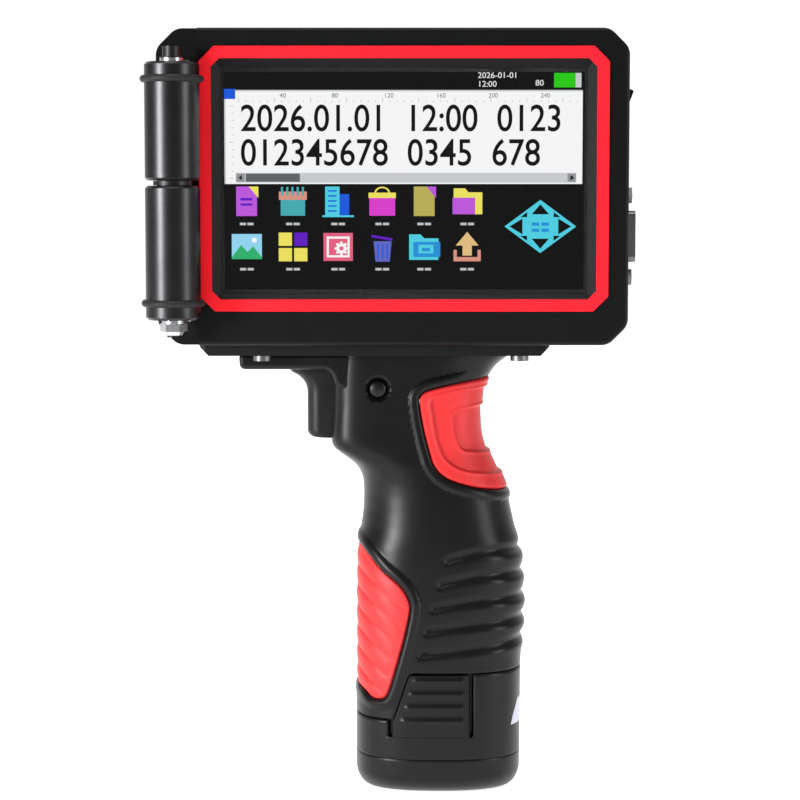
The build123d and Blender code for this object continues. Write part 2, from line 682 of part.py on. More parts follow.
def grip_shell(side, cavity):
    shell = (GRIP & half(side)) - cavity - battery_step(0)
    shell -= trigger_space()
    room = (CORE_SIZE[0] + 2 * CORE_PLAY, CORE_SIZE[1] + 2 * CORE_PLAY)
    shell -= rounded_column(room, CORE_ROUND + CORE_PLAY, 0, 79.5)
    shell -= block(-11, 11, -7, 7, 79, 85)
    shell -= PAD_LAYER & along_y(upper_pad_outline(), -30, 30)
    shell -= PAD_LAYER & along_y(lower_pad_outline(), -30, 30)
    for x, y in HANDLE_SCREWS:
        shell -= rod_z(x, y, PLATE_BOTTOM - 3.4, PLATE_BOTTOM + 1, 1.5)
    for x, z in GRIP_SCREWS:
        shell -= rod_y(x, z, -11, 20, 1.5)
        shell -= rod_y(x, z, 14.5, 30, 3.0)
    return shell


def near_shell(cavity):
    shell = grip_shell(-1, cavity)
    shell -= rod_y(BUTTON_X, BUTTON_Z, -30, BUTTON_FACE_Y + 0.6, BUTTON_RECESS_R)
    shell -= rod_y(BUTTON_X, BUTTON_Z, -30, -10, BUTTON_R + 0.2)
    return shell - rod_y(BUTTON_X, BUTTON_Z, -14.9, -8, 4.4)


def grip_screws():
    screws = Part()
    for x, z in GRIP_SCREWS:
        screws += rod_y(x, z, -10.8, 14.5, 1.5) + rod_y(x, z, 14.5, 16.3, 2.8)
    return screws


# --- trigger and button -------------------------------------------------------
def trigger():
    nose = (TRIGGER_NOSE, TRIGGER_TOP - 1.2)
    face_top = (TRIGGER_FACE, 125.5)
    face_bottom = (TRIGGER_FACE, TRIGGER_BOTTOM + 2.6)
    toe = (TRIGGER_FACE + 2.6, TRIGGER_BOTTOM)
    curve = Spline(nose, (-43.6, 129.4), face_top, tangents=((0.9, -0.7), (0, -1)))
    front = Line(face_top, face_bottom)
    corner = TangentArc(face_bottom, toe, tangent=(0, -1))
    rest = Polyline(toe, (TRIGGER_BACK, TRIGGER_BOTTOM), (TRIGGER_BACK, TRIGGER_TOP),
                    (TRIGGER_NOSE + 0.6, TRIGGER_TOP), nose)
    body = along_y(make_face(curve + front + corner + rest), -TRIGGER_HALF_WIDTH, TRIGGER_HALF_WIDTH)
    body += block(TRIGGER_BACK - 2, TRIGGER_BACK, -9.3, 9.3, TRIGGER_BOTTOM + 1.5, TRIGGER_TOP - 1.7)
    body += block(TRIGGER_BACK, TRIGGER_BACK + 4, -3, 3, 113, 117)
    return body + rod_x(0, SPRING_Z, TRIGGER_BACK, TRIGGER_BACK + 2.5, SPRING_R - SPRING_WIRE - 0.4)


def trigger_spring():
    length = SPRING_SEAT_X - TRIGGER_BACK - 2 * SPRING_WIRE
    path = Helix(length / SPRING_TURNS, length, SPRING_R)
    section = Plane(origin=path @ 0, z_dir=path % 0) * Circle(SPRING_WIRE)
    coil = sweep(section, path=path, is_frenet=True)
    return Pos(TRIGGER_BACK + SPRING_WIRE, 0, SPRING_Z) * Rot(0, 90, 0) * coil


def trigger_switch():
    body = block(-14, -2, -4, 4, 112, 118)
    return body + block(-15.5, -14, -1.5, 1.5, 114, 116)


def side_button():
    cap = rod_y(BUTTON_X, BUTTON_Z, BUTTON_FACE_Y, -13.0, BUTTON_R)
    cap = fillet(cap.faces().sort_by(Axis.Y)[0].edges(), 1.2)
    return cap + rod_y(BUTTON_X, BUTTON_Z, -14.6, -13.9, 4.0)


def side_button_switch():
    return block(BUTTON_X - 2.7, BUTTON_X + 2.7, -11.5, -8.0, BUTTON_Z - 3, BUTTON_Z + 3)


def battery_contact_block():
    body = block(-11, 11, -7, 7, 77.4, 85)
    for x in (-7.5, -2.5, 2.5, 7.5):
        body += rod_z(x, 0, 76.5, 77.4, 0.9)
    return body


# --- battery ------------------------------------------------------------------
def battery_case():
    """Sleeve that rises inside the grip, with a skirt that continues the grip's outer form."""
    skirt = GRIP & battery_step(STEP_GAP)
    skirt -= block(-40, 40, -30, 30, -1, CAP_SEAM)
    case = skirt + rounded_column(CORE_SIZE, CORE_ROUND, CAP_SEAM, CORE_TOP)
    inner = (CORE_SIZE[0] - 2 * CORE_WALL, CORE_SIZE[1] - 2 * CORE_WALL)
    case -= rounded_column(inner, CORE_ROUND - CORE_WALL, CAP_SEAM - 1, CORE_TOP - CORE_WALL)
    pocket = CORE_SIZE[1] / 2 + 0.05
    for side in (-1, 1):
        case -= block(TAB_LEFT - TAB_SLOT, TAB_RIGHT + TAB_SLOT, side * pocket, side * 30, TAB_HINGE_Z, 45)
    return case


def battery_bottom_cap():
    cap = GRIP & block(-40, 40, -30, 30, -1, CAP_SEAM)
    inner = (CORE_SIZE[0] - 2 * CORE_WALL, CORE_SIZE[1] - 2 * CORE_WALL)
    return cap - rounded_column(inner, CORE_ROUND - CORE_WALL, 5.0, CAP_SEAM + 1)


def release_tab(side):
    """A springy tongue in the battery's skirt; its foot is the hinge line."""
    slope_x = STEP_HEAD_X + STEP_GAP
    points = ((TAB_LEFT, TAB_HINGE_Z + 0.3), (TAB_LEFT, STEP_LOW - STEP_GAP), (STEP_FOOT_X, STEP_LOW - STEP_GAP),
              (slope_x, STEP_HIGH - STEP_GAP), (TAB_RIGHT, STEP_HIGH - STEP_GAP), (TAB_RIGHT, TAB_HINGE_Z + 0.3))
    panel = along_y(outline(points), *sorted((side * TAB_INNER_Y, side * 30)))
    return GRIP & panel


def battery_cells():
    cells = Part()
    for x, y in ((-9.3, 8.1), (9.3, 8.1), (0.0, -8.1)):
        cells += rod_z(BATTERY_X + x, y, CELL_BOTTOM, CELL_BOTTOM + CELL_LENGTH, CELL_R)
    return cells


def battery_terminals():
    pads = Part()
    for x in (-7.5, -2.5, 2.5, 7.5):
        pads += block(x - 1.5, x + 1.5, -4, 4, CORE_TOP, CORE_TOP + 0.2)
    return pads


# --- write every piece --------------------------------------------------------
def build_head():
    save("head_front_shell", head_front_shell())
    save("head_rear_shell", head_rear_shell())
    save("head_screws", head_screws())
    save("red_trim_ring", trim_ring())
    save("touch_glass", touch_glass())
    save("display_gasket", display_gasket())
    save("lcd_module", lcd_module())
    save("main_board", main_board())
    save("speaker", speaker())
    save("encoder_sensor", encoder_sensor())
    save("cartridge_bay", cartridge_bay())
    save("cartridge_contacts", cartridge_contacts())
    save("ink_cartridge", ink_cartridge())
    save("nozzle_plate", nozzle_plate())
    save("dsub_shell", dsub_shell())
    save("dsub_insulator", dsub_insulator())
    save("dsub_jackscrews", dsub_jackscrews())
    save("power_switch_frame", power_switch_frame())
    save("power_rocker", power_rocker())


def build_rollers():
    upper_ring_z = ROLLER_TOP - O_RING_FROM_END
    lower_ring_z = ROLLER_BOTTOM + O_RING_FROM_END
    for name, side in SIDES:
        save("roller_bracket_" + name, roller_bracket(side))
        save("roller_axle_" + name, roller_axle(side))
        save("upper_roller_" + name, roller_sleeve(side, ROLLER_GAP_TOP, ROLLER_TOP, upper_ring_z))
        save("lower_roller_" + name, roller_sleeve(side, ROLLER_BOTTOM, ROLLER_GAP_BOTTOM, lower_ring_z))
        save("upper_o_ring_" + name, o_ring(side, upper_ring_z))
        save("lower_o_ring_" + name, o_ring(side, lower_ring_z))
        save("axle_screw_" + name, axle_screw(side))
        save("axle_washer_" + name, axle_washer(side))
        save("axle_nut_" + name, axle_nut(side))


def build_grip():
    save("mounting_plate", mounting_plate())
    save("plate_screws", plate_screws())
    save("handle_screws", handle_screws())
    cavity = upper_cavity()
    save("grip_shell_near", near_shell(cavity))
    save("grip_shell_far", grip_shell(1, cavity))
    for name, side in SIDES:
        save("upper_pad_" + name, pad(upper_pad_outline(), side))
        save("lower_pad_" + name, pad(lower_pad_outline(), side))
    save("grip_screws", grip_screws())
    save("trigger", trigger())
    save("trigger_spring", trigger_spring())
    save("trigger_switch", trigger_switch())
    save("side_button", side_button())
    save("side_button_switch", side_button_switch())
    save("battery_contact_block", battery_contact_block())


def build_battery():
    save("battery_case", battery_case())
    save("battery_bottom_cap", battery_bottom_cap())
    for name, side in SIDES:
        save("release_tab_" + name, release_tab(side))
    save("battery_cells", battery_cells())
    save("battery_terminals", battery_terminals())


os.makedirs("parts", exist_ok=True)
build_head()
build_rollers()
build_grip()
build_battery()
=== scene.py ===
"""Looks for the handheld date code inkjet printer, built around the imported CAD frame."""
import math

import bpy
import numpy as np
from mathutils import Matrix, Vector


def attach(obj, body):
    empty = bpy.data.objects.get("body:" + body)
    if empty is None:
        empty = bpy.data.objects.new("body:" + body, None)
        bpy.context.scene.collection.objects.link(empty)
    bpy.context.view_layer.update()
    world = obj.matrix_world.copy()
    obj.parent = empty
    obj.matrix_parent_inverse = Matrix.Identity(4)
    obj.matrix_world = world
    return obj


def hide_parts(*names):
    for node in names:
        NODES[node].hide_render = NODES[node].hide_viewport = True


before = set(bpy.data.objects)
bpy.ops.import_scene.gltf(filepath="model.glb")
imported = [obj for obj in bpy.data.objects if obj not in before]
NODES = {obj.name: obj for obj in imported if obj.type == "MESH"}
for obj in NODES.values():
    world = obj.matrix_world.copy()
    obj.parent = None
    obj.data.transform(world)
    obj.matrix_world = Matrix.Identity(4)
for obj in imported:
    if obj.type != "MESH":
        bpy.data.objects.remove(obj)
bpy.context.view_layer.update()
MM = 0.001

# --- the grip's form, in millimetres -------------------------------------------------
# Height, front x, rear x, half depth, squareness of the rear and front halves (2 is an ellipse).
GRIP_FORM = np.array((
    (0.0, -25.6, 26.2, 22.0, 2.4, 2.4),
    (9.0, -25.6, 26.3, 22.0, 2.6, 2.6),
    (24.0, -25.6, 26.4, 22.0, 2.8, 2.8),
    (41.0, -25.7, 26.6, 22.0, 2.8, 2.8),
    (52.0, -25.7, 27.5, 21.9, 2.8, 2.8),
    (60.0, -25.7, 27.7, 21.8, 2.8, 2.8),
    (72.0, -25.6, 27.2, 21.4, 2.6, 2.6),
    (78.0, -25.3, 26.3, 21.1, 2.5, 2.5),
    (83.0, -24.0, 24.6, 20.7, 2.4, 2.4),
    (89.0, -23.2, 23.2, 20.2, 2.4, 2.4),
    (94.0, -23.1, 22.3, 19.8, 2.4, 2.4),
    (98.0, -23.3, 20.7, 19.4, 2.4, 2.5),
    (101.0, -24.3, 19.2, 19.1, 2.4, 2.7),
    (103.5, -26.1, 18.1, 18.9, 2.4, 3.1),
    (106.0, -29.4, 16.9, 18.6, 2.5, 3.7),
    (108.5, -32.9, 15.9, 18.4, 2.6, 4.4),
    (111.0, -33.4, 15.1, 18.2, 2.8, 5.0),
    (115.0, -32.9, 14.5, 17.9, 3.0, 5.5),
    (122.0, -32.5, 14.2, 17.7, 3.2, 5.5),
    (128.0, -32.5, 14.8, 17.6, 3.2, 5.5),
    (131.0, -32.5, 16.2, 17.6, 3.2, 5.5),
    (134.0, -32.5, 18.2, 17.6, 3.2, 5.5),
    (136.0, -32.5, 20.6, 17.6, 3.2, 5.5),
    (138.3, -32.5, 24.5, 17.6, 3.2, 5.5),
))
FORM_STEP = 0.1
FORM_SOFTEN = 1.0
GRIP_TOP = 138.3
BASE_ROUND = 5.3
BASE_ROUND_HIGH = 7.0
BASE_ROUND_SIDE = 11.0
GRID = 0.45
SKIN = 2.2
BATTERY_WALL = 3.0
TAB_WALL = 1.6

# Outlines on the near side as (x, z), drawn through by smooth curves.
UPPER_PAD = ((40.0, 136.5), (19.0, 131.4), (13.6, 130.3), (4.0, 128.6), (-2.6, 127.0), (-5.2, 125.4),
             (-5.7, 122.9), (-4.4, 115.0), (-2.5, 107.6), (-0.9, 103.4), (2.8, 99.9), (10.5, 97.2),
             (19.8, 95.6), (40.0, 93.0))
UPPER_STEP_1 = ((40.0, 131.0), (13.5, 127.4), (1.0, 125.2), (-1.9, 123.6), (-1.6, 120.0), (0.0, 111.0),
                (2.6, 105.6), (7.5, 102.4), (16.0, 100.8), (40.0, 98.0))
UPPER_STEP_2 = ((40.0, 124.5), (13.0, 121.6), (6.6, 120.4), (5.0, 118.6), (5.6, 113.0), (7.6, 108.9),
                (11.0, 108.0), (16.5, 107.4), (40.0, 105.5))
LOWER_PAD = ((-40.0, 84.0), (-30.0, 81.4), (-24.7, 78.3), (-17.9, 71.4), (-12.0, 66.5), (-9.3, 62.6),
             (-8.7, 58.6), (-10.5, 49.9), (-13.3, 39.8), (-15.6, 32.8), (-17.6, 30.6), (-21.1, 30.6),
             (-25.0, 33.0), (-40.0, 38.0))
BEAD_WIDTH = 3.0
BEAD_HEIGHT = 0.75
PAD_THICK = 1.5
PAD_GAP = 0.12
RIDGE_ANGLE = math.radians(38.0)
RIDGE_PITCH = 5.0

# Grip grooves behind the palm: where each starts on the side, its height part way, and at the rear.
GROOVES = ((2.8, 74.2, 77.2, 76.6), (0.6, 66.7, 69.8, 69.6), (-1.5, 59.2, 62.2, 62.4), (-3.7, 52.0, 54.9, 55.6),
           (-5.6, 44.8, 47.5, 49.0))
GROOVE_MIDDLE_X = 16.0
GROOVE_REAR_X = 27.5
GROOVE_DEPTH = 0.95
GROOVE_HALF = 1.25

# Where the battery's stepped upper edge runs.
STEP_LOW = 24.4
STEP_HIGH = 39.2
STEP_FOOT_X = -13.7
STEP_HEAD_X = -9.4
SEAM_GAP = 0.4
CAP_SEAM = 11.9
TAB_LEFT = -14.4
TAB_RIGHT = 10.0
TAB_SLOT = 1.2
TAB_FOOT = 19.0
TAB_PLAY = 0.3
TAB_RIB_HEIGHTS = (36.8, 32.5, 28.3, 24.1)
BUTTON = (-18.6, 127.4)
BEAK_HALF = 16.4
TRIGGER_HALF = 7.5
TRIGGER_ROUND = 4.2
FLANGE_HALF = 9.3
TRIGGER_SLOT = (110.6, 133.0, 7.8)


# --- small numeric helpers -----------------------------------------------------------
def smoothstep(low, high, value):
    share = np.clip((value - low) / (high - low), 0.0, 1.0)
    return share * share * (3 - 2 * share)


def spline_through(points, per_span=10):
    """Points along an open Catmull-Rom curve through the given ones."""
    pts = [np.array(p, float) for p in points]
    line = []
    for i in range(len(pts) - 1):
        a, b = pts[max(i - 1, 0)], pts[i]
        c, d = pts[i + 1], pts[min(i + 2, len(pts) - 1)]
        for k in range(per_span):
            t = k / per_span
            line.append(0.5 * (2 * b + (c - a) * t + (2 * a - 5 * b + 4 * c - d) * t ** 2
                               + (3 * b - a - 3 * c + d) * t ** 3))
    line.append(pts[-1])
    return np.array(line)


def signed_distance(outline, x, z):
    """Distance from each (x, z) to a closed outline, negative inside."""
    start = outline
    end = np.roll(outline, -1, axis=0)
    best = np.full(x.shape, 1e9)
    inside = np.zeros(x.shape, bool)
    for (ax, az), (bx, bz) in zip(start, end):
        ex, ez = bx - ax, bz - az
        length = ex * ex + ez * ez
        if length < 1e-12:
            continue
        t = np.clip(((x - ax) * ex + (z - az) * ez) / length, 0.0, 1.0)
        best = np.minimum(best, np.hypot(x - ax - t * ex, z - az - t * ez))
        if az != bz:
            crosses = (az > z) != (bz > z)
            inside ^= crosses & (x < ex * (z - az) / ez + ax)
    return np.where(inside, -best, best)


def field(points):
    """Signed distance to a curved outline, closed by the line between its ends."""
    outline = spline_through(points)
    return lambda x, z: signed_distance(outline, x, z)


def polygon_field(points):
    """Signed distance to a straight-sided outline."""
    outline = np.array(points, float)
    return lambda x, z: signed_distance(outline, x, z)


# --- the grip's surface ---------------------------------------------------------------
class Form:
    """The grip's smoothed section measures at any height."""

    def __init__(self):
        self.z = np.arange(-12.0, GRIP_TOP + 12.0, FORM_STEP)
        reach = int(4 * FORM_SOFTEN / FORM_STEP)
        kernel = np.exp(-0.5 * (np.arange(-reach, reach + 1) * FORM_STEP / FORM_SOFTEN) ** 2)
        kernel /= kernel.sum()
        self.columns = []
        for column in range(1, 6):
            raw = np.interp(self.z, GRIP_FORM[:, 0], GRIP_FORM[:, column])
            self.columns.append(np.convolve(np.pad(raw, reach, mode="edge"), kernel, mode="valid"))
        angle = np.linspace(0, math.pi, 2001)
        x, y = superellipse(angle, 26.0, 21.0, 2.8)
        run = np.concatenate(([0], np.cumsum(np.hypot(np.diff(x), np.diff(y)))))
        self.girth = run[-1]
        self.run = run / run[-1]
        self.angle = angle

    def at(self, z):
        return [np.interp(z, self.z, column) for column in self.columns]

    def point(self, s, z):
        """Surface point; s runs 0..1 from front to rear on the near side, and on to 2 round the far side."""
        front, rear, depth, rear_power, front_power = self.at(z)
        down = np.clip((BASE_ROUND_HIGH - z) / BASE_ROUND_HIGH, 0, 1)
        inset = 1 - np.sqrt(1 - down ** 2)
        fold = np.where(s > 1, 2 - s, s)
        angle = np.interp(np.abs(fold), self.run, self.angle)
        half = (rear - front) / 2 - inset * BASE_ROUND
        power = np.where(angle < math.pi / 2, front_power, rear_power)
        x, y = superellipse(angle, half, depth - inset * BASE_ROUND_SIDE, power)
        near = np.where((s > 1) | (s < 0), 1.0, -1.0)
        return np.stack(((front + rear) / 2 + x, near * y, z), axis=-1)

    def normal(self, s, z):
        step = 0.2
        along = self.point(s + step / self.girth, z) - self.point(s - step / self.girth, z)
        up = self.point(s, z + step) - self.point(s, z - step)
        n = np.cross(along, up)
        return n / np.linalg.norm(n, axis=-1, keepdims=True)


def superellipse(angle, half_width, half_depth, power):
    c = np.cos(math.pi - angle)
    s = np.sin(angle)
    reach = (np.abs(c) ** power + np.abs(s) ** power) ** (-1 / power)
    return half_width * c * reach, half_depth * s * reach


FORM = Form()


# --- meshes -----------------------------------------------------------------------------
def new_piece(name, vertices, faces, material, body, sharp=35.0):
    """Make an object from millimetre vertices, smooth-shaded up to the sharp angle."""
    mesh = bpy.data.meshes.new(name)
    mesh.from_pydata([tuple(v) for v in np.asarray(vertices) * MM], [], faces)
    mesh.validate()
    mesh.update()
    mesh.shade_smooth()
    mesh.set_sharp_from_angle(angle=math.radians(sharp))
    mesh.materials.append(material)
    piece = bpy.data.objects.new(name, mesh)
    bpy.context.scene.collection.objects.link(piece)
    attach(piece, body)
    return piece


def skin(region, height, z_range, s_range=(0.0, 1.0), thick=SKIN, cell=GRID):
    """A closed shell on the grip's surface: the part where region(x, y, z) is negative.

    height(x, y, z, edge) raises or sinks the outer face; edge is the distance inside the border.
    """
    columns = int(round((s_range[1] - s_range[0]) * FORM.girth / cell)) + 1
    rows = int(round((z_range[1] - z_range[0]) / cell)) + 1
    loop = s_range == (0.0, 2.0)
    s_line = np.linspace(*s_range, columns)
    if loop:
        s_line = s_line[:-1]
        columns -= 1
    s, z = np.meshgrid(s_line, np.linspace(*z_range, rows))
    border_row = np.zeros_like(z, bool)
    border_row[0] = border_row[-1] = True
    border_col = np.zeros_like(z, bool)
    if not loop:
        border_col[:, 0] = border_col[:, -1] = True

    def distance(s, z):
        p = FORM.point(s, z)
        return region(p[..., 0], p[..., 1], p[..., 2])

    d = distance(s, z)
    for _ in range(3):
        step = 0.05
        ds = (distance(s + step / FORM.girth, z) - distance(s - step / FORM.girth, z)) / (2 * step)
        dz = (distance(s, z + step) - distance(s, z - step)) / (2 * step)
        ds = np.where(border_col, 0.0, ds)
        dz = np.where(border_row, 0.0, dz)
        size = ds ** 2 + dz ** 2 + 1e-9
        near = (np.abs(d) < 0.62 * cell) & (size > 0.05)
        s = np.where(near, s - d * ds / size / FORM.girth, s)
        z = np.where(near, z - d * dz / size, z)
        d = distance(s, z)
    on = d < 0.06 * cell
    points = FORM.point(s, z)
    normals = FORM.normal(s, z)
    edge = np.clip(-d, 0, None)
    rise = height(points[..., 0], points[..., 1], points[..., 2], edge)
    outer = (points + normals * rise[..., None]).reshape(-1, 3)
    inner = (points - normals * thick).reshape(-1, 3)
    flat_on = on.reshape(-1)
    index = np.arange(outer.shape[0]).reshape(z.shape)
    faces = []
    last = columns if loop else columns - 1
    for j in range(rows - 1):
        for i in range(last):
            k = (i + 1) % columns
            quad = (index[j, i], index[j, k], index[j + 1, k], index[j + 1, i])
            good = [q for q in quad if flat_on[q]]
            if len(good) >= 3:
                faces.append(tuple(int(q) for q in good))
    return close_shell(outer, inner, faces)


def close_shell(outer, inner, faces):
    """Join outer faces, reversed inner faces and the walls between their open edges."""
    used = sorted({v for face in faces for v in face})
    place = {v: n for n, v in enumerate(used)}
    count = len(used)
    vertices = np.concatenate((outer[used], inner[used]))
    top = [tuple(place[v] for v in face) for face in faces]
    seen = {}
    for face in top:
        for a, b in zip(face, face[1:] + face[:1]):
            seen[(a, b)] = True
    walls = [(b, a, a + count, b + count) for a, b in seen if (b, a) not in seen]
    below = [tuple(v + count for v in reversed(face)) for face in top]
    return vertices, top + below + walls


def mirrored(vertices, faces):
    turned = np.array(vertices)
    turned[:, 1] *= -1
    return turned, [tuple(reversed(face)) for face in faces]


def merge(parts):
    vertices = []
    faces = []
    offset = 0
    for some, made in parts:
        vertices.append(np.asarray(some))
        faces += [tuple(v + offset for v in face) for face in made]
        offset += len(some)
    return np.concatenate(vertices), faces


def rings(loops):
    """A closed solid through rings of equal length, with flat ends."""
    count = len(loops[0])
    vertices = np.concatenate(loops)
    faces = [tuple(reversed(range(count)))]
    for row in range(len(loops) - 1):
        for i in range(count):
            k = (i + 1) % count
            a = row * count
            faces.append((a + i, a + k, a + count + k, a + count + i))
    last = (len(loops) - 1) * count
    faces.append(tuple(range(last, last + count)))
    return vertices, faces


# --- procedural materials ------------------------------------------------------------------
class Recipe:
    """A Principled material with its node helpers."""

    def __init__(self, name, roughness=0.5, metallic=0.0, **sockets):
        self.material = bpy.data.materials.new(name)
        self.material.use_nodes = True
        self.tree = self.material.node_tree
        self.shader = self.tree.nodes["Principled BSDF"]
        self.shader.inputs["Roughness"].default_value = roughness
        self.shader.inputs["Metallic"].default_value = metallic
        for socket, value in sockets.items():
            self.shader.inputs[socket.replace("_", " ")].default_value = value
        self.coords = self.node("ShaderNodeTexCoord").outputs["Object"]
        self.bump_input = None

    def node(self, kind, **settings):
        made = self.tree.nodes.new(kind)
        for key, value in settings.items():
            setattr(made, key, value)
        return made

    def link(self, source, target):
        self.tree.links.new(source, target)

    def noise(self, scale, detail=4.0, stretch=(1, 1, 1)):
        mapping = self.node("ShaderNodeMapping")
        mapping.inputs["Scale"].default_value = stretch
        self.link(self.coords, mapping.inputs["Vector"])
        texture = self.node("ShaderNodeTexNoise")
        texture.inputs["Scale"].default_value = scale
        texture.inputs["Detail"].default_value = detail
        self.link(mapping.outputs["Vector"], texture.inputs["Vector"])
        return texture.outputs["Fac"]

    def ramp(self, source, low, high, start=0.3, stop=0.7):
        ramp = self.node("ShaderNodeValToRGB")
        ramp.color_ramp.elements[0].position = start
        ramp.color_ramp.elements[1].position = stop
        ramp.color_ramp.elements[0].color = (*low, 1)
        ramp.color_ramp.elements[1].color = (*high, 1)
        self.link(source, ramp.inputs["Fac"])
        return ramp.outputs["Color"]

    def spread(self, source, low, high):
        remap = self.node("ShaderNodeMapRange")
        remap.inputs["To Min"].default_value = low
        remap.inputs["To Max"].default_value = high
        self.link(source, remap.inputs["Value"])
        return remap.outputs["Result"]

    def colour(self, source):
        self.link(source, self.shader.inputs["Base Color"])

    def rough(self, source):
        self.link(source, self.shader.inputs["Roughness"])

    def bump(self, source, strength, distance):
        bump = self.node("ShaderNodeBump")
        bump.inputs["Strength"].default_value = strength
        bump.inputs["Distance"].default_value = distance
        self.link(source, bump.inputs["Height"])
        if self.bump_input is not None:
            self.link(self.bump_input, bump.inputs["Normal"])
        self.bump_input = bump.outputs["Normal"]
        self.link(self.bump_input, self.shader.inputs["Normal"])


def moulded(name, colour, roughness, grain=2200.0, depth=0.00004, spread=0.16, shine=0.35):
    """Moulded plastic: spark-eroded grain, faint flow marks and slightly uneven gloss."""
    recipe = Recipe(name, roughness)
    recipe.shader.inputs["Specular IOR Level"].default_value = shine
    broad = recipe.noise(22.0, 3.0)
    dark = tuple(c * (1 - spread) for c in colour)
    light = tuple(c * (1 + spread) for c in colour)
    recipe.colour(recipe.ramp(broad, dark, light))
    recipe.rough(recipe.spread(recipe.noise(140.0, 5.0), roughness - 0.05, roughness + 0.06))
    recipe.bump(recipe.noise(grain, 2.0), 0.35, depth)
    return recipe.material


def rubbery(name, colour, roughness):
    """Soft-touch overmould with a fine matte grain."""
    recipe = Recipe(name, roughness)
    recipe.shader.inputs["Specular IOR Level"].default_value = 0.3
    dark = tuple(c * 0.86 for c in colour)
    light = tuple(min(1.0, c * 1.1) for c in colour)
    recipe.colour(recipe.ramp(recipe.noise(60.0, 4.0), dark, light))
    recipe.rough(recipe.spread(recipe.noise(300.0, 3.0), roughness - 0.06, roughness + 0.08))
    recipe.bump(recipe.noise(3200.0, 3.0), 0.4, 0.00003)
    return recipe.material


def metal(name, colour, roughness, brushed=(1, 1, 12)):
    """Plated or anodised metal with fine directional machining marks."""
    recipe = Recipe(name, roughness, metallic=1.0)
    marks = recipe.noise(900.0, 4.0, stretch=brushed)
    dark = tuple(c * 0.82 for c in colour)
    recipe.colour(recipe.ramp(recipe.noise(90.0, 4.0), dark, colour))
    recipe.rough(recipe.spread(marks, max(0.05, roughness - 0.08), roughness + 0.1))
    recipe.bump(marks, 0.15, 0.00002)
    return recipe.material


def lit(name, colour, strength=1.0):
    """One colour of the lit display, with the faint row pattern of its pixels."""
    recipe = Recipe(name, 0.6)
    recipe.shader.inputs["Base Color"].default_value = (0.0, 0.0, 0.0, 1)
    recipe.shader.inputs["Specular IOR Level"].default_value = 0.0
    wave = recipe.node("ShaderNodeTexWave", bands_direction="Z")
    wave.inputs["Scale"].default_value = 2300.0
    recipe.link(recipe.coords, wave.inputs["Vector"])
    dim = tuple(c * 0.94 for c in colour)
    recipe.link(recipe.ramp(wave.outputs["Fac"], dim, colour), recipe.shader.inputs["Emission Color"])
    recipe.shader.inputs["Emission Strength"].default_value = strength
    return recipe.material


def glass_cover():
    recipe = Recipe("cover_glass", 0.03, IOR=1.3)
    recipe.shader.inputs["Transmission Weight"].default_value = 1.0
    recipe.shader.inputs["Base Color"].default_value = (1, 1, 1, 1)
    recipe.rough(recipe.spread(recipe.noise(40.0, 3.0), 0.02, 0.05))
    return recipe.material


BLACK = moulded("satin_black_abs", (0.0018, 0.0021, 0.0021), 0.44, shine=0.14)
GRIP_BLACK = moulded("grip_black_abs", (0.0028, 0.0030, 0.0031), 0.34, shine=0.21)
TRIGGER_BLACK = moulded("trigger_black", (0.003, 0.003, 0.003), 0.38, shine=0.25)
RING_RED = moulded("trim_red_abs", (0.90, 0.008, 0.018), 0.40, spread=0.04, shine=0.25)
PAD_RED = rubbery("grip_red_rubber", (0.60, 0.022, 0.023), 0.48)
ROLLER = metal("anodised_black", (0.04, 0.04, 0.042), 0.33, brushed=(1, 1, 14))
RUBBER = rubbery("o_ring_rubber", (0.008, 0.008, 0.008), 0.55)
STEEL = metal("zinc_plated", (0.62, 0.63, 0.65), 0.26)
CONNECTOR = metal("nickel_shell", (0.16, 0.165, 0.17), 0.38)
DARK_STEEL = metal("black_oxide", (0.035, 0.035, 0.036), 0.42)
PLATE = moulded("powder_coat", (0.0025, 0.0025, 0.003), 0.50, shine=0.2, grain=1400.0, depth=0.00006)
GOLD = metal("gold_plate", (0.83, 0.62, 0.25), 0.28)
BOARD = moulded("solder_mask", (0.01, 0.10, 0.04), 0.4, spread=0.3)
CELL = moulded("cell_sleeve", (0.03, 0.12, 0.35), 0.35)
CARTRIDGE = moulded("cartridge_plastic", (0.015, 0.015, 0.017), 0.45)
LABEL = moulded("label_film", (0.50, 0.50, 0.62), 0.35, spread=0.06)
INSULATOR = moulded("connector_blue", (0.01, 0.03, 0.16), 0.45)


def dress(material, *names):
    for name in names:
        slots = NODES[name].data.materials
        slots.clear()
        slots.append(material)


def dress_cad():
    dress(BLACK, "head_front_shell", "head_rear_shell", "cartridge_bay", "power_switch_frame", "power_rocker",
          "side_button", "battery_contact_block", "trigger_switch", "side_button_switch")
    dress(RING_RED, "red_trim_ring")
    dress(glass_cover(), "touch_glass")
    dress(PLATE, "mounting_plate")
    dress(BOARD, "main_board", "encoder_sensor", "cartridge_contacts")
    dress(CARTRIDGE, "ink_cartridge", "lcd_module", "speaker")
    dress(GOLD, "nozzle_plate", "battery_terminals")
    dress(CELL, "battery_cells")
    dress(INSULATOR, "dsub_insulator")
    dress(RUBBER, "display_gasket")
    dress(CONNECTOR, "dsub_shell", "dsub_jackscrews", "plate_screws")
    dress(STEEL, "trigger_spring")
    dress(DARK_STEEL, "head_screws", "handle_screws", "grip_screws")
    for side in ("near", "far"):
        dress(ROLLER, "upper_roller_" + side, "lower_roller_" + side)
        dress(RUBBER, "upper_o_ring_" + side, "lower_o_ring_" + side)
        dress(STEEL, "roller_bracket_" + side, "axle_nut_" + side)
        dress(DARK_STEEL, "roller_axle_" + side, "axle_screw_" + side, "axle_washer_" + side)


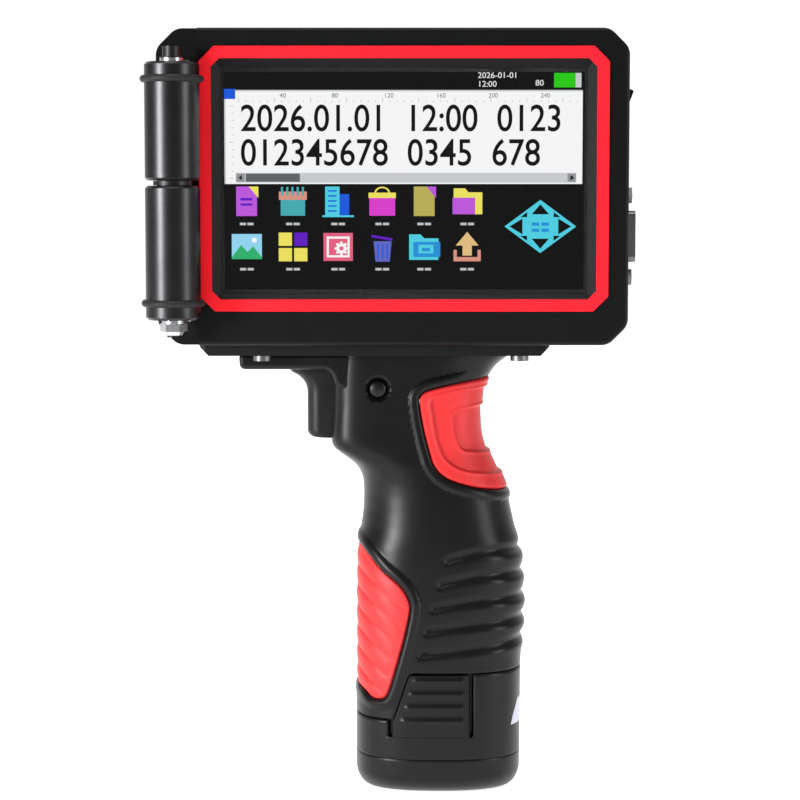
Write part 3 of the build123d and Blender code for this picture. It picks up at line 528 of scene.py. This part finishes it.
# --- grip pieces ----------------------------------------------------------------------------
upper_pad = field(UPPER_PAD)
upper_step_1 = field(UPPER_STEP_1)
upper_step_2 = field(UPPER_STEP_2)
lower_pad = field(LOWER_PAD)


def battery_line(gap):
    return polygon_field(((-60, -60), (-60, STEP_LOW - gap), (STEP_FOOT_X - 0.3, STEP_LOW - gap),
                          (STEP_HEAD_X, STEP_HIGH - 1.2 - gap), (STEP_HEAD_X + 0.5, STEP_HIGH - 0.4 - gap),
                          (STEP_HEAD_X + 1.6, STEP_HIGH - gap), (60, STEP_HIGH - gap), (60, -60)))


battery_edge = battery_line(SEAM_GAP)
shell_edge = battery_line(0.0)
tab_panel = polygon_field(((TAB_LEFT, TAB_FOOT), (TAB_LEFT, 60), (TAB_RIGHT, 60), (TAB_RIGHT, TAB_FOOT)))
tab_window = polygon_field(((TAB_LEFT - TAB_SLOT, TAB_FOOT - 0.12), (TAB_LEFT - TAB_SLOT, 60),
                            (TAB_RIGHT + TAB_SLOT, 60), (TAB_RIGHT + TAB_SLOT, TAB_FOOT - 0.12)))


def round_edge(edge, radius):
    """How far a rounded border sinks at this distance inside it."""
    reach = np.clip(radius - edge, 0, radius)
    return radius - np.sqrt(radius ** 2 - reach ** 2)


def bead(distance):
    """A round cord of plastic just outside a pad."""
    across = (distance - 0.25 - BEAD_WIDTH / 2) / (BEAD_WIDTH / 2)
    return BEAD_HEIGHT * np.sqrt(np.clip(1 - across ** 2, 0, None)) * (distance > 0)


def grooves(x, z):
    """Finger grooves that start on the side as a scoop and run round the back."""
    depth = np.zeros_like(x)
    for start_x, start_z, middle_z, rear_z in GROOVES:
        bend = np.polyfit((start_x, GROOVE_MIDDLE_X, GROOVE_REAR_X), (start_z, middle_z, rear_z), 2)
        line = np.polyval(bend, np.maximum(x, start_x))
        share = np.clip((x - start_x) / (GROOVE_REAR_X - start_x), 0, 1)
        width = GROOVE_HALF * (0.75 + 0.5 * share)
        away = np.hypot(np.minimum(x - start_x - 0.4, 0), z - line)
        hollow = np.exp(-(away / width) ** 2)
        body = 1.0 - 0.5 * smoothstep(0.05, 0.35, share) + 0.5 * smoothstep(0.45, 0.9, share)
        lip = 0.35 * np.exp(-((z - line + 2.7) / 1.6) ** 2) * smoothstep(0.15, 0.8, share)
        depth = depth + body * GROOVE_DEPTH * hollow - lip
    return depth


def shell_region(with_button):
    low, high, half = TRIGGER_SLOT

    def region(x, y, z):
        d = np.maximum(-shell_edge(x, z), -upper_pad(x, z))
        d = np.maximum(d, -lower_pad(x, z))
        slot = np.maximum(np.maximum(low - z, z - high), np.abs(y) - half)
        slot = np.maximum(slot, x + 20)
        d = np.maximum(d, -slot)
        if with_button:
            d = np.maximum(d, 2.9 - np.hypot(x - BUTTON[0], z - BUTTON[1]))
        return d
    return region


def shell_height(with_button):
    def height(x, y, z, edge):
        quiet = 1 - smoothstep(3.0, 13.0, x) * smoothstep(120.0, 127.0, z)
        front = 1 - (0.75 - 0.35 * smoothstep(50.0, 70.0, z)) * smoothstep(-20.0, -25.0, x)
        rise = bead(upper_pad(x, z)) * quiet + bead(lower_pad(x, z)) * front * smoothstep(26.0, 30.0, z)
        rise = rise - grooves(x, z)
        rise = rise - round_edge(np.minimum(edge, 9), 0.35)
        if with_button:
            reach = np.hypot(x - BUTTON[0], z - BUTTON[1])
            rise = rise - 0.9 * (1 - smoothstep(3.3, 4.0, reach))
        return rise
    return height


def upper_pad_height(x, y, z, edge):
    rise = 0.65 - 0.65 * smoothstep(-0.35, 0.35, -upper_step_1(x, z))
    rise = rise - 0.65 * smoothstep(-0.35, 0.35, -upper_step_2(x, z))
    for step in (upper_step_1, upper_step_2):
        rise = rise + 0.25 * np.exp(-((step(x, z) - 0.65) / 0.4) ** 2)
    return rise - round_edge(edge, 0.7)


def lower_pad_height(x, y, z, edge):
    across = x * math.sin(RIDGE_ANGLE) + z * math.cos(RIDGE_ANGLE)
    phase = (across / RIDGE_PITCH) % 1.0
    scallop = np.sqrt(np.clip(1 - (2 * np.abs(phase - 0.5)) ** 2.4, 0, None)) * (0.75 + 0.25 * phase)
    fade = 0.45 + 0.55 * smoothstep(12.0, 2.0, x + 25.0)
    base = -0.25 - 0.5 * smoothstep(-13.0, -24.0, x)
    return base + 0.85 * (scallop - 0.5) * fade * smoothstep(0.6, 3.0, edge) + 0.2 - round_edge(edge, 0.5)


def make_grip():
    for side, with_button in (("near", True), ("far", False)):
        parts = skin(shell_region(with_button), shell_height(with_button), (STEP_LOW, GRIP_TOP))
        upper = skin(lambda x, y, z: upper_pad(x, z) + PAD_GAP, upper_pad_height, (92.0, 134.0),
                     thick=PAD_THICK, cell=0.3)
        lower = skin(lambda x, y, z: lower_pad(x, z) + PAD_GAP, lower_pad_height, (29.0, 82.0),
                     thick=PAD_THICK, cell=0.35)
        if side == "far":
            parts, upper, lower = mirrored(*parts), mirrored(*upper), mirrored(*lower)
        shell = new_piece("grip_skin_" + side, *parts, GRIP_BLACK, "printer")
        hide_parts("grip_shell_" + side)
        for name, made in (("upper", upper), ("lower", lower)):
            pad = new_piece(name + "_soft_pad_" + side, *made, PAD_RED, "printer")
            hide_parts(name + "_pad_" + side)


def make_beak():
    """The overhang above the trigger, filleted into the grip's front."""
    toe = [(-59.6 + 1.8 * math.cos(a), 135.2 + 1.8 * math.sin(a))
           for a in np.linspace(math.radians(190), math.radians(270), 7)]
    root = [(-35.7 + 3.4 * math.sin(a), 130.0 + 3.4 * math.cos(a)) for a in np.linspace(0, math.pi / 2, 10)]
    outline = [(-61.6, GRIP_TOP - 0.02)] + toe + root + [(-31.2, 128.2), (-28.0, 126.6), (-24.0, 126.6),
                                                        (-24.0, GRIP_TOP - 0.02)]
    loops = [np.array([(x, y, z) for x, z in outline]) for y in (BEAK_HALF, -BEAK_HALF)]
    piece = new_piece("grip_beak", *rings(loops), GRIP_BLACK, "printer", sharp=30)
    soften(piece, 1.4, 4, 30.0)


def soften(piece, width, segments, angle):
    """Round a piece's sharp edges."""
    bevel = piece.modifiers.new("edges", "BEVEL")
    bevel.width = width * MM
    bevel.segments = segments
    bevel.limit_method = "ANGLE"
    bevel.angle_limit = math.radians(angle)
    bevel.harden_normals = True
    apply_modifiers(piece)


def apply_modifiers(piece):
    graph = bpy.context.evaluated_depsgraph_get()
    mesh = bpy.data.meshes.new_from_object(piece.evaluated_get(graph))
    piece.modifiers.clear()
    piece.data = mesh


# --- trigger -----------------------------------------------------------------------------
def make_trigger():
    """A blade with a hooked nose at the top and a rounded toe, on a flange that rides inside the grip."""
    nose = [(-46.1, 133.25), (-46.35, 132.6), (-45.9, 132.0), (-44.9, 131.4), (-43.9, 130.9), (-43.0, 130.2),
            (-42.2, 129.4), (-41.5, 128.4), (-41.1, 127.4), (-40.85, 126.2), (-40.8, 125.0)]
    toe = [(-38.4 - 2.4 * math.cos(a), 113.7 - 2.4 * math.sin(a)) for a in np.linspace(0, math.pi / 2, 8)]
    outline = nose + toe + [(-27.6, 111.3), (-27.6, 133.25)]
    loops = []
    for y in TRIGGER_HALF * np.sin(np.linspace(math.pi / 2, -math.pi / 2, 25)):
        tuck = round_edge(TRIGGER_HALF - abs(y), TRIGGER_ROUND)
        loops.append(np.array([(min(x + tuck, -27.6), y, z) for x, z in outline]))
    piece = new_piece("trigger_blade", *rings(loops), TRIGGER_BLACK, "trigger_button", sharp=40)
    corners = ((-FLANGE_HALF, 112.4), (FLANGE_HALF, 112.4), (FLANGE_HALF, 131.0), (-FLANGE_HALF, 131.0))
    block = [np.array([(x, y, z) for y, z in corners]) for x in (-29.5, -27.5)]
    flange = new_piece("trigger_flange", *rings(block), TRIGGER_BLACK, "trigger_button")
    soften(flange, 0.3, 2, 30.0)
    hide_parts("trigger")


def make_side_button():
    """A domed key, turned about its own axis."""
    profile = [(2.62, -15.2), (2.62, -16.85)]
    profile += [(2.62 * math.cos(a), -16.85 - 0.95 * math.sin(a)) for a in np.linspace(0.12, 1.5, 12)]
    turn = np.linspace(0, 2 * math.pi, 49)[:-1]
    loops = [np.array([(BUTTON[0] + r * math.cos(a), y, BUTTON[1] + r * math.sin(a)) for a in turn])
             for r, y in profile]
    piece = new_piece("side_key_cap", *rings(loops), TRIGGER_BLACK, "side_key")
    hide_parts("side_button")


# --- battery ------------------------------------------------------------------------------
def tab_height(x, y, z, edge):
    side = np.minimum(np.minimum(x - TAB_LEFT, TAB_RIGHT - x), -battery_edge(x, z))
    rise = -round_edge(np.clip(side, 0, None), 0.4)
    for row, height in enumerate(TAB_RIB_HEIGHTS):
        left = -7.5 - 1.25 * row
        reach = smoothstep(left - 0.8, left + 0.8, x) * (1 - smoothstep(7.3, 8.6, x))
        rise = rise + 0.45 * reach * np.exp(-((z - height) / 0.75) ** 2)
    return rise


def make_battery():
    def skirt(x, y, z):
        return np.maximum(battery_edge(x, z), -np.maximum(tab_window(x, z), 18 - np.abs(y)))

    def skirt_height(x, y, z, edge):
        side = np.where(z < TAB_FOOT, 9.0, edge)
        return -round_edge(side, 0.3) - round_edge(np.clip(z - CAP_SEAM, 0, None), 0.35)

    walls = skin(skirt, skirt_height, (CAP_SEAM + 0.05, STEP_HIGH), (0.0, 2.0), thick=BATTERY_WALL)
    case = new_piece("battery_skirt", *walls, GRIP_BLACK, "battery")
    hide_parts("battery_case")
    s = np.linspace(0, 2, 321)[:-1]
    loops = []
    for z in [BASE_ROUND_HIGH * (1 - math.cos(a)) for a in np.linspace(0.01, math.pi / 2, 16)]:
        loops.append(FORM.point(s, np.full_like(s, z)))
    for z in np.linspace(BASE_ROUND_HIGH + 0.4, CAP_SEAM - 0.35, 8):
        loops.append(FORM.point(s, np.full_like(s, z)))
    for inset, z in ((0.1, CAP_SEAM - 0.12), (0.35, CAP_SEAM), (2.5, CAP_SEAM)):
        edge = FORM.point(s, np.full_like(s, z))
        loops.append(edge - inset * FORM.normal(s, np.full_like(s, z)))
    cap = new_piece("battery_foot", *rings(loops), GRIP_BLACK, "battery")
    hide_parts("battery_bottom_cap")
    make_stem()
    tab = skin(lambda x, y, z: np.maximum(battery_edge(x, z) + TAB_PLAY, tab_panel(x, z)), tab_height,
               (TAB_FOOT, STEP_HIGH), thick=TAB_WALL)
    for side in ("near", "far"):
        made = tab if side == "near" else mirrored(*tab)
        piece = new_piece("battery_tab_" + side, *made, GRIP_BLACK, "latch_" + side)
        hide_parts("release_tab_" + side)


def rounded_loop(centre_x, width, depth, corner, z, per_corner=8):
    points = []
    for turn, (sx, sy) in enumerate(((1, 1), (-1, 1), (-1, -1), (1, -1))):
        for a in np.linspace(0, math.pi / 2, per_corner):
            angle = a + turn * math.pi / 2
            points.append((centre_x + sx * (width / 2 - corner) + corner * math.cos(angle),
                           sy * (depth / 2 - corner) + corner * math.sin(angle), z))
    return np.array(points)


def make_stem():
    """The sleeve that slides up inside the grip, with guide rails and a rounded rim."""
    loops = []
    for z, inset in ((12.2, 1.0), (38.8, 1.0), (39.6, 0.0), (70.0, 0.0), (74.6, 0.0), (75.4, 0.25),
                     (75.9, 0.9), (76.0, 1.6)):
        loops.append(rounded_loop(0.45, 40 - 2 * inset, 37.4 - 2 * inset, 6.0 - inset, z))
    stem = rings(loops)
    rails = []
    for side in (-1, 1):
        for x in (-11.0, 12.0):
            low = np.array([(x - 1, side * 18.6, 42), (x + 1, side * 18.6, 42),
                            (x + 1, side * 18.95, 42), (x - 1, side * 18.95, 42)])
            high = low.copy()
            high[:, 2] = 72
            made = rings([low, high] if side > 0 else [low[::-1], high[::-1]])
            rails.append(made)
    piece = new_piece("battery_stem", *merge([stem] + rails), GRIP_BLACK, "battery")


def make_label():
    """A plain pale sticker round the battery's back, with slanted ends."""
    share, z = np.meshgrid(np.linspace(0, 1, 90), np.linspace(21.6, 29.4, 24))
    slant = 0.055 * ((z - 21.6) / 7.8) ** 1.5
    s = 0.815 + slant + share * (2 - 2 * (0.815 + slant))
    points = FORM.point(s, z)
    normals = FORM.normal(s, z)
    outer = (points + normals * 0.07).reshape(-1, 3)
    inner = (points - normals * 0.02).reshape(-1, 3)
    index = np.arange(z.size).reshape(z.shape)
    faces = [(int(index[j, i]), int(index[j, i + 1]), int(index[j + 1, i + 1]), int(index[j + 1, i]))
             for j in range(z.shape[0] - 1) for i in range(z.shape[1] - 1)]
    piece = new_piece("battery_label", *close_shell(outer, inner, faces), LABEL, "battery")


# --- display picture ------------------------------------------------------------------------
# The picture is laid out on a grid 100 wide and 62 high, from the screen's top left corner.
SCREEN_WIDTH = 108.2
SCREEN_HEIGHT = 66.6
SCREEN_CENTRE = (-10.5, 191.4)
GRID_WIDTH = 100.0
UNIT = SCREEN_WIDTH / GRID_WIDTH
SCREEN_FRONT = -29.5
LAYER = 0.03
ui_parts = {}


def to_screen(x, y, layer):
    return (SCREEN_CENTRE[0] - SCREEN_WIDTH / 2 + x * UNIT, SCREEN_FRONT - layer * LAYER,
            SCREEN_CENTRE[1] + SCREEN_HEIGHT / 2 - y * UNIT)


def shape(colour, layer, points):
    """A flat polygon; points run clockwise as seen on the screen."""
    corners = np.array([to_screen(x, y, layer) for x, y in points])
    area = sum(a[0] * b[2] - b[0] * a[2] for a, b in zip(corners, np.roll(corners, -1, axis=0)))
    if area < 0:
        corners = corners[::-1]
    ui_parts.setdefault(colour, []).append((corners, [tuple(range(len(corners)))]))


def bar(colour, layer, x0, y0, x1, y1):
    shape(colour, layer, ((x0, y0), (x1, y0), (x1, y1), (x0, y1)))


def disc(colour, layer, x, y, r, count=24):
    shape(colour, layer, [(x + r * math.cos(a), y + r * math.sin(a))
                          for a in np.linspace(0, 2 * math.pi, count, endpoint=False)])


def text(colour, layer, words, x, y, height, stretch=1.0, weight=0.0):
    """Figures whose lower left corner is at (x, y)."""
    curve = bpy.data.curves.new("figures", "FONT")
    curve.body = words
    curve.size = height / 0.7
    curve.offset = weight
    made = bpy.data.objects.new("figures", curve)
    bpy.context.scene.collection.objects.link(made)
    bpy.context.view_layer.update()
    mesh = bpy.data.meshes.new_from_object(made.evaluated_get(bpy.context.evaluated_depsgraph_get()))
    corners = np.array([to_screen(x + v.co.x * stretch, y - v.co.y, layer) for v in mesh.vertices])
    faces = [tuple(p.vertices) for p in mesh.polygons]
    ui_parts.setdefault(colour, []).append((corners, faces))
    bpy.data.objects.remove(made)
    bpy.data.curves.remove(curve)
    bpy.data.meshes.remove(mesh)


def draw_status():
    text("white", 2, "2026-01-01", 70.4, 2.3, 1.6, 1.05)
    text("white", 2, "12:00", 70.4, 4.7, 1.6, 1.05)
    text("white", 2, "80", 86.4, 4.4, 1.6, 1.05)
    bar("green", 2, 91.6, 0.9, 97.6, 4.9)
    bar("pale", 2, 97.6, 0.9, 99.2, 4.9)


def draw_canvas():
    bar("paper", 1, 0.0, 5.6, 99.6, 31.6)
    bar("blue", 3, 0.0, 5.3, 3.1, 8.1)
    bar("pale", 2, 3.1, 5.6, 99.6, 6.0)
    bar("pale", 2, 0.0, 8.1, 0.4, 31.6)
    for tick in range(48):
        x = 4.0 + 2.0 * tick
        bar("grey", 3, x, 8.5 if tick % 5 else 7.8, x + 0.12, 9.0)
    for tick in range(11):
        y = 10.0 + 2.0 * tick
        bar("grey", 3, 2.0 if tick % 5 else 1.4, y, 2.6, y + 0.12)
    for number in range(6):
        text("slate", 3, str(40 * (number + 1)), 15.4 + 14.5 * number, 7.7, 1.25)
    text("black", 3, "2026.01.01  12:00  0123", 4.4, 16.9, 7.3, 0.88, 0.08)
    text("black", 3, "012345678  0345  678", 4.4, 26.4, 7.3, 0.88, 0.08)
    bar("pale", 2, 3.1, 28.5, 97.9, 31.2)
    bar("slate", 3, 5.9, 28.7, 21.0, 31.0)
    for x0, tip in ((3.3, 3.9), (95.5, 97.4)):
        bar("grey", 3, x0, 28.7, x0 + 2.3, 31.0)
        back = x0 + 1.5 if tip < 50 else x0 + 0.8
        shape("black", 4, ((tip, 29.85), (back, 29.1), (back, 30.6)))


def page(x, y, colour, corner):
    shape(colour, 1, ((x - 2.9, y - 4.1), (x + 1.2, y - 4.1), (x + 2.9, y - 2.2), (x + 2.9, y + 4.1),
                      (x - 2.9, y + 4.1)))
    shape(corner, 2, ((x + 0.6, y - 4.1), (x + 3.3, y - 4.1), (x + 3.3, y - 0.9)))


def icon_note(x, y):
    page(x, y, "purple", "yellow")
    bar("violet", 2, x - 1.7, y - 0.9, x + 1.6, y - 0.2)
    bar("violet", 2, x - 1.7, y + 0.6, x + 1.6, y + 1.2)


def icon_calendar(x, y):
    bar("teal", 1, x - 3.4, y - 0.8, x + 3.4, y + 4.0)
    bar("salmon", 2, x - 3.9, y - 2.7, x + 3.9, y - 0.4)
    for spike in range(5):
        left = x - 3.3 + 1.45 * spike
        bar("teal", 3, left, y - 4.0, left + 0.6, y - 1.6)


def icon_building(x, y):
    bar("cyan", 1, x - 3.6, y - 4.1, x + 0.4, y + 4.0)
    bar("blue", 2, x + 0.4, y - 2.0, x + 3.1, y + 4.0)
    bar("cyan", 3, x - 4.4, y + 3.9, x + 4.4, y + 4.4)
    for row in range(5):
        bar("blue", 3, x - 2.8, y - 3.1 + 1.4 * row, x - 0.4, y - 2.7 + 1.4 * row)


def icon_bag(x, y):
    bar("magenta", 1, x - 3.6, y - 1.8, x + 3.6, y + 4.0)
    bar("yellow", 2, x - 3.8, y - 2.4, x + 3.8, y - 0.9)
    for step in range(10):
        a, b = math.pi * step / 10, math.pi * (step + 1) / 10
        ring = [(x + r * math.cos(t), y - 2.3 - r * 0.8 * math.sin(t)) for r, t in
                ((2.2, a), (2.2, b), (1.7, b), (1.7, a))]
        shape("yellow", 2, ring)


def icon_sheet(x, y):
    page(x, y, "khaki", "purple")


def icon_folder(x, y):
    shape("yellow", 1, ((x - 3.8, y - 3.6), (x - 0.6, y - 3.6), (x + 0.3, y - 2.5), (x + 4.2, y - 2.5),
                        (x + 4.2, y + 3.6), (x - 3.8, y + 3.6)))
    bar("purple", 2, x - 4.1, y - 1.0, x + 2.2, y + 3.6)


def icon_picture(x, y):
    bar("sky", 1, x - 4.2, y - 3.6, x + 4.2, y + 3.4)
    shape("leaf", 2, ((x - 4.2, y + 2.9), (x - 1.6, y - 0.6), (x + 0.2, y + 1.4), (x + 1.8, y - 0.2),
                      (x + 4.2, y + 2.9), (x + 4.2, y + 3.4), (x - 4.2, y + 3.4)))
    disc("paper", 2, x + 2.1, y - 1.9, 0.7)


def icon_tiles(x, y):
    for dx, dy, colour in ((-4.0, -4.0, "yellow"), (0.3, -4.0, "violet"), (-4.0, 0.3, "yellow"),
                           (0.3, 0.3, "yellow")):
        bar(colour, 1, x + dx, y + dy, x + dx + 3.7, y + dy + 3.7)


def icon_gear(x, y):
    bar("pink", 1, x - 4.1, y - 3.9, x + 4.1, y + 3.9)
    bar("paper", 2, x - 3.2, y - 2.9, x + 3.2, y + 2.9)
    bar("pink", 3, x - 2.6, y - 2.3, x + 2.6, y + 2.3)
    for tooth in range(8):
        angle = 2 * math.pi * tooth / 8
        disc("paper", 4, x + 0.9 + 1.55 * math.cos(angle), y + 0.4 + 1.55 * math.sin(angle), 0.42, 8)
    disc("paper", 4, x + 0.9, y + 0.4, 1.4)
    disc("pink", 5, x + 0.9, y + 0.4, 0.6)


def icon_bin(x, y):
    shape("iris", 1, ((x - 2.4, y - 1.6), (x + 2.6, y - 1.6), (x + 2.1, y + 4.1), (x - 1.9, y + 4.1)))
    shape("violet", 2, ((x - 3.0, y - 3.4), (x + 2.9, y - 2.4), (x + 2.8, y - 1.7), (x - 3.1, y - 2.7)))
    for rib in range(3):
        left = x - 1.4 + 1.3 * rib
        bar("blue", 2, left, y - 0.9, left + 0.4, y + 3.3)


def icon_save(x, y):
    shape("cyan", 1, ((x - 4.2, y - 3.5), (x - 1.0, y - 3.5), (x, y - 2.4), (x + 4.0, y - 2.4),
                      (x + 4.0, y + 3.6), (x - 4.2, y + 3.6)))
    bar("azure", 2, x - 3.0, y - 1.4, x + 4.5, y + 2.8)
    bar("cyan", 3, x - 1.6, y - 0.6, x + 2.6, y + 1.8)
    bar("azure", 4, x - 0.6, y + 0.3, x + 1.6, y + 1.2)


def icon_send(x, y):
    shape("tan", 2, ((x, y - 4.2), (x + 3.2, y - 0.4), (x + 1.3, y - 0.4), (x + 1.3, y + 2.4),
                     (x - 1.3, y + 2.4), (x - 1.3, y - 0.4), (x - 3.2, y - 0.4)))
    bar("salmon", 1, x - 3.8, y + 2.8, x + 3.8, y + 4.0)
    bar("salmon", 1, x - 3.8, y + 0.8, x - 2.9, y + 2.8)
    bar("salmon", 1, x + 2.9, y + 0.8, x + 3.8, y + 2.8)


ICON_COLUMNS = (6.1, 19.0, 31.6, 43.9, 55.6, 67.6)
ICON_ROWS = ((36.4, 42.7, (icon_note, icon_calendar, icon_building, icon_bag, icon_sheet, icon_folder)),
             (49.1, 55.3, (icon_picture, icon_tiles, icon_gear, icon_bin, icon_save, icon_send)))


def draw_icons():
    for y, label_y, icons in ICON_ROWS:
        for x, icon in zip(ICON_COLUMNS, icons):
            icon(x, y)
            bar("mist", 1, x - 1.9, label_y - 0.35, x - 0.2, label_y + 0.35)
            bar("mist", 1, x + 0.2, label_y - 0.35, x + 1.9, label_y + 0.35)


def draw_pad():
    x, y, wide, high = 88.0, 43.4, 10.0, 7.4
    shape("cyan", 1, ((x, y - high), (x + wide, y), (x, y + high), (x - wide, y)))
    for sx, sy in ((1, 0), (-1, 0), (0, 1), (0, -1)):
        if sx:
            tip, base = x + sx * 8.6, x + sx * 5.0
            shape("black", 2, ((tip, y), (base, y - 2.2), (base, y + 2.2)))
        else:
            tip, base = y + sy * 6.2, y + sy * 3.4
            shape("black", 2, ((x, tip), (x - 2.4, base), (x + 2.4, base)))
    for turn in range(4):
        sx, sy = ((1, 1), (1, -1), (-1, -1), (-1, 1))[turn]
        shape("black", 2, ((x + sx * 3.7, y + sy * 2.6), (x + sx * 5.6, y + sy * 2.6),
                           (x + sx * 3.7, y + sy * 4.0)))
    bar("cyan", 3, x - 3.6, y - 2.5, x + 3.6, y + 2.5)
    for row in (-1.1, 0.6):
        bar("azure", 4, x - 2.4, y + row, x - 0.3, y + row + 0.9)
        bar("azure", 4, x + 0.3, y + row, x + 2.4, y + row + 0.9)


UI_COLOURS = {
    "night": (0.0015, 0.0015, 0.002), "black": (0.002, 0.002, 0.002), "white": (0.9, 0.9, 0.9),
    "paper": (0.96, 0.96, 0.97), "pale": (0.60, 0.62, 0.64), "grey": (0.30, 0.31, 0.33),
    "slate": (0.12, 0.13, 0.14), "mist": (0.55, 0.56, 0.58), "green": (0.02, 0.60, 0.005),
    "blue": (0.01, 0.10, 0.75), "purple": (0.52, 0.10, 0.74), "violet": (0.12, 0.01, 0.55),
    "yellow": (0.88, 0.78, 0.12), "teal": (0.06, 0.42, 0.46), "salmon": (0.72, 0.30, 0.22),
    "cyan": (0.08, 0.64, 0.78), "azure": (0.02, 0.28, 0.70), "magenta": (0.72, 0.05, 0.62),
    "khaki": (0.50, 0.44, 0.10), "sky": (0.30, 0.68, 0.90), "leaf": (0.03, 0.45, 0.16),
    "pink": (0.80, 0.12, 0.22), "iris": (0.12, 0.14, 0.55), "tan": (0.78, 0.52, 0.22),
}


def make_picture():
    bar("night", 0, -0.2, -0.2, 100.2, 61.8)
    draw_status()
    draw_canvas()
    draw_icons()
    draw_pad()
    for colour, parts in ui_parts.items():
        vertices, faces = merge(parts)
        material = lit("lit_" + colour, UI_COLOURS[colour])
        piece = new_piece("picture_" + colour, vertices, faces, material, "printer")


# --- stage, light and camera ---------------------------------------------------------------
def area_light(name, place, aim, width, height, power, colour=(1, 1, 1)):
    light = bpy.data.lights.new(name, "AREA")
    light.shape = "RECTANGLE"
    light.size = width
    light.size_y = height
    light.energy = power
    light.color = colour
    made = bpy.data.objects.new(name, light)
    made.location = place
    made.rotation_euler = (Vector(aim) - Vector(place)).to_track_quat("-Z", "Y").to_euler()
    bpy.context.scene.collection.objects.link(made)


def make_world():
    """A pale studio that is brightest behind the printer and dim behind the camera."""
    world = bpy.data.worlds.new("studio")
    world.use_nodes = True
    nodes, links = world.node_tree.nodes, world.node_tree.links
    split = nodes.new("ShaderNodeSeparateXYZ")
    links.new(nodes.new("ShaderNodeTexCoord").outputs["Generated"], split.inputs["Vector"])
    remap = nodes.new("ShaderNodeMapRange")
    remap.inputs["From Min"].default_value = 0.0
    remap.inputs["From Max"].default_value = 0.9
    remap.inputs["To Min"].default_value = 0.25
    remap.inputs["To Max"].default_value = 1.05
    links.new(split.outputs["Y"], remap.inputs["Value"])
    links.new(remap.outputs["Result"], nodes["Background"].inputs["Strength"])
    nodes["Background"].inputs["Color"].default_value = (1, 1, 1, 1)
    bpy.context.scene.world = world


def make_stage():
    floor = Recipe("studio_floor", 0.8)
    floor.colour(floor.ramp(floor.noise(30.0, 3.0), (0.87, 0.87, 0.87), (0.89, 0.89, 0.89)))
    floor.shader.inputs["Specular IOR Level"].default_value = 0.0
    floor.shader.inputs["Emission Color"].default_value = (1, 1, 1, 1)
    floor.shader.inputs["Emission Strength"].default_value = 0.85
    corners = [(-2.5, -0.6, -0.0004), (2.5, -0.6, -0.0004), (2.5, 2.2, -0.0004), (-2.5, 2.2, -0.0004)]
    mesh = bpy.data.meshes.new("floor")
    mesh.from_pydata(corners, [], [tuple(range(4))])
    mesh.materials.append(floor.material)
    made = bpy.data.objects.new("floor", mesh)
    bpy.context.scene.collection.objects.link(made)
    make_world()
    area_light("key", (-0.95, -0.82, 0.25), (0, 0, 0.11), 0.30, 0.32, 18)
    area_light("fill", (1.0, -0.6, 0.30), (0, 0, 0.11), 0.35, 0.6, 5)
    area_light("top", (-0.1, -0.3, 1.3), (0, 0, 0.1), 0.9, 0.6, 9)


CAMERA_PLACE = (-0.01174, -0.756, 0.1887)
CAMERA_DOWN = 5.0


def make_camera():
    camera = bpy.data.cameras.new("camera")
    camera.sensor_width = 36.0
    camera.lens = 108.0
    made = bpy.data.objects.new("camera", camera)
    made.location = CAMERA_PLACE
    made.rotation_euler = (math.radians(90.0 - CAMERA_DOWN), 0, 0)
    bpy.context.scene.collection.objects.link(made)
    bpy.context.scene.camera = made


bpy.context.scene.view_settings.view_transform = "Standard"
make_camera()
make_stage()
dress_cad()
make_grip()
make_beak()
make_trigger()
make_side_button()
make_battery()
make_label()
make_picture()
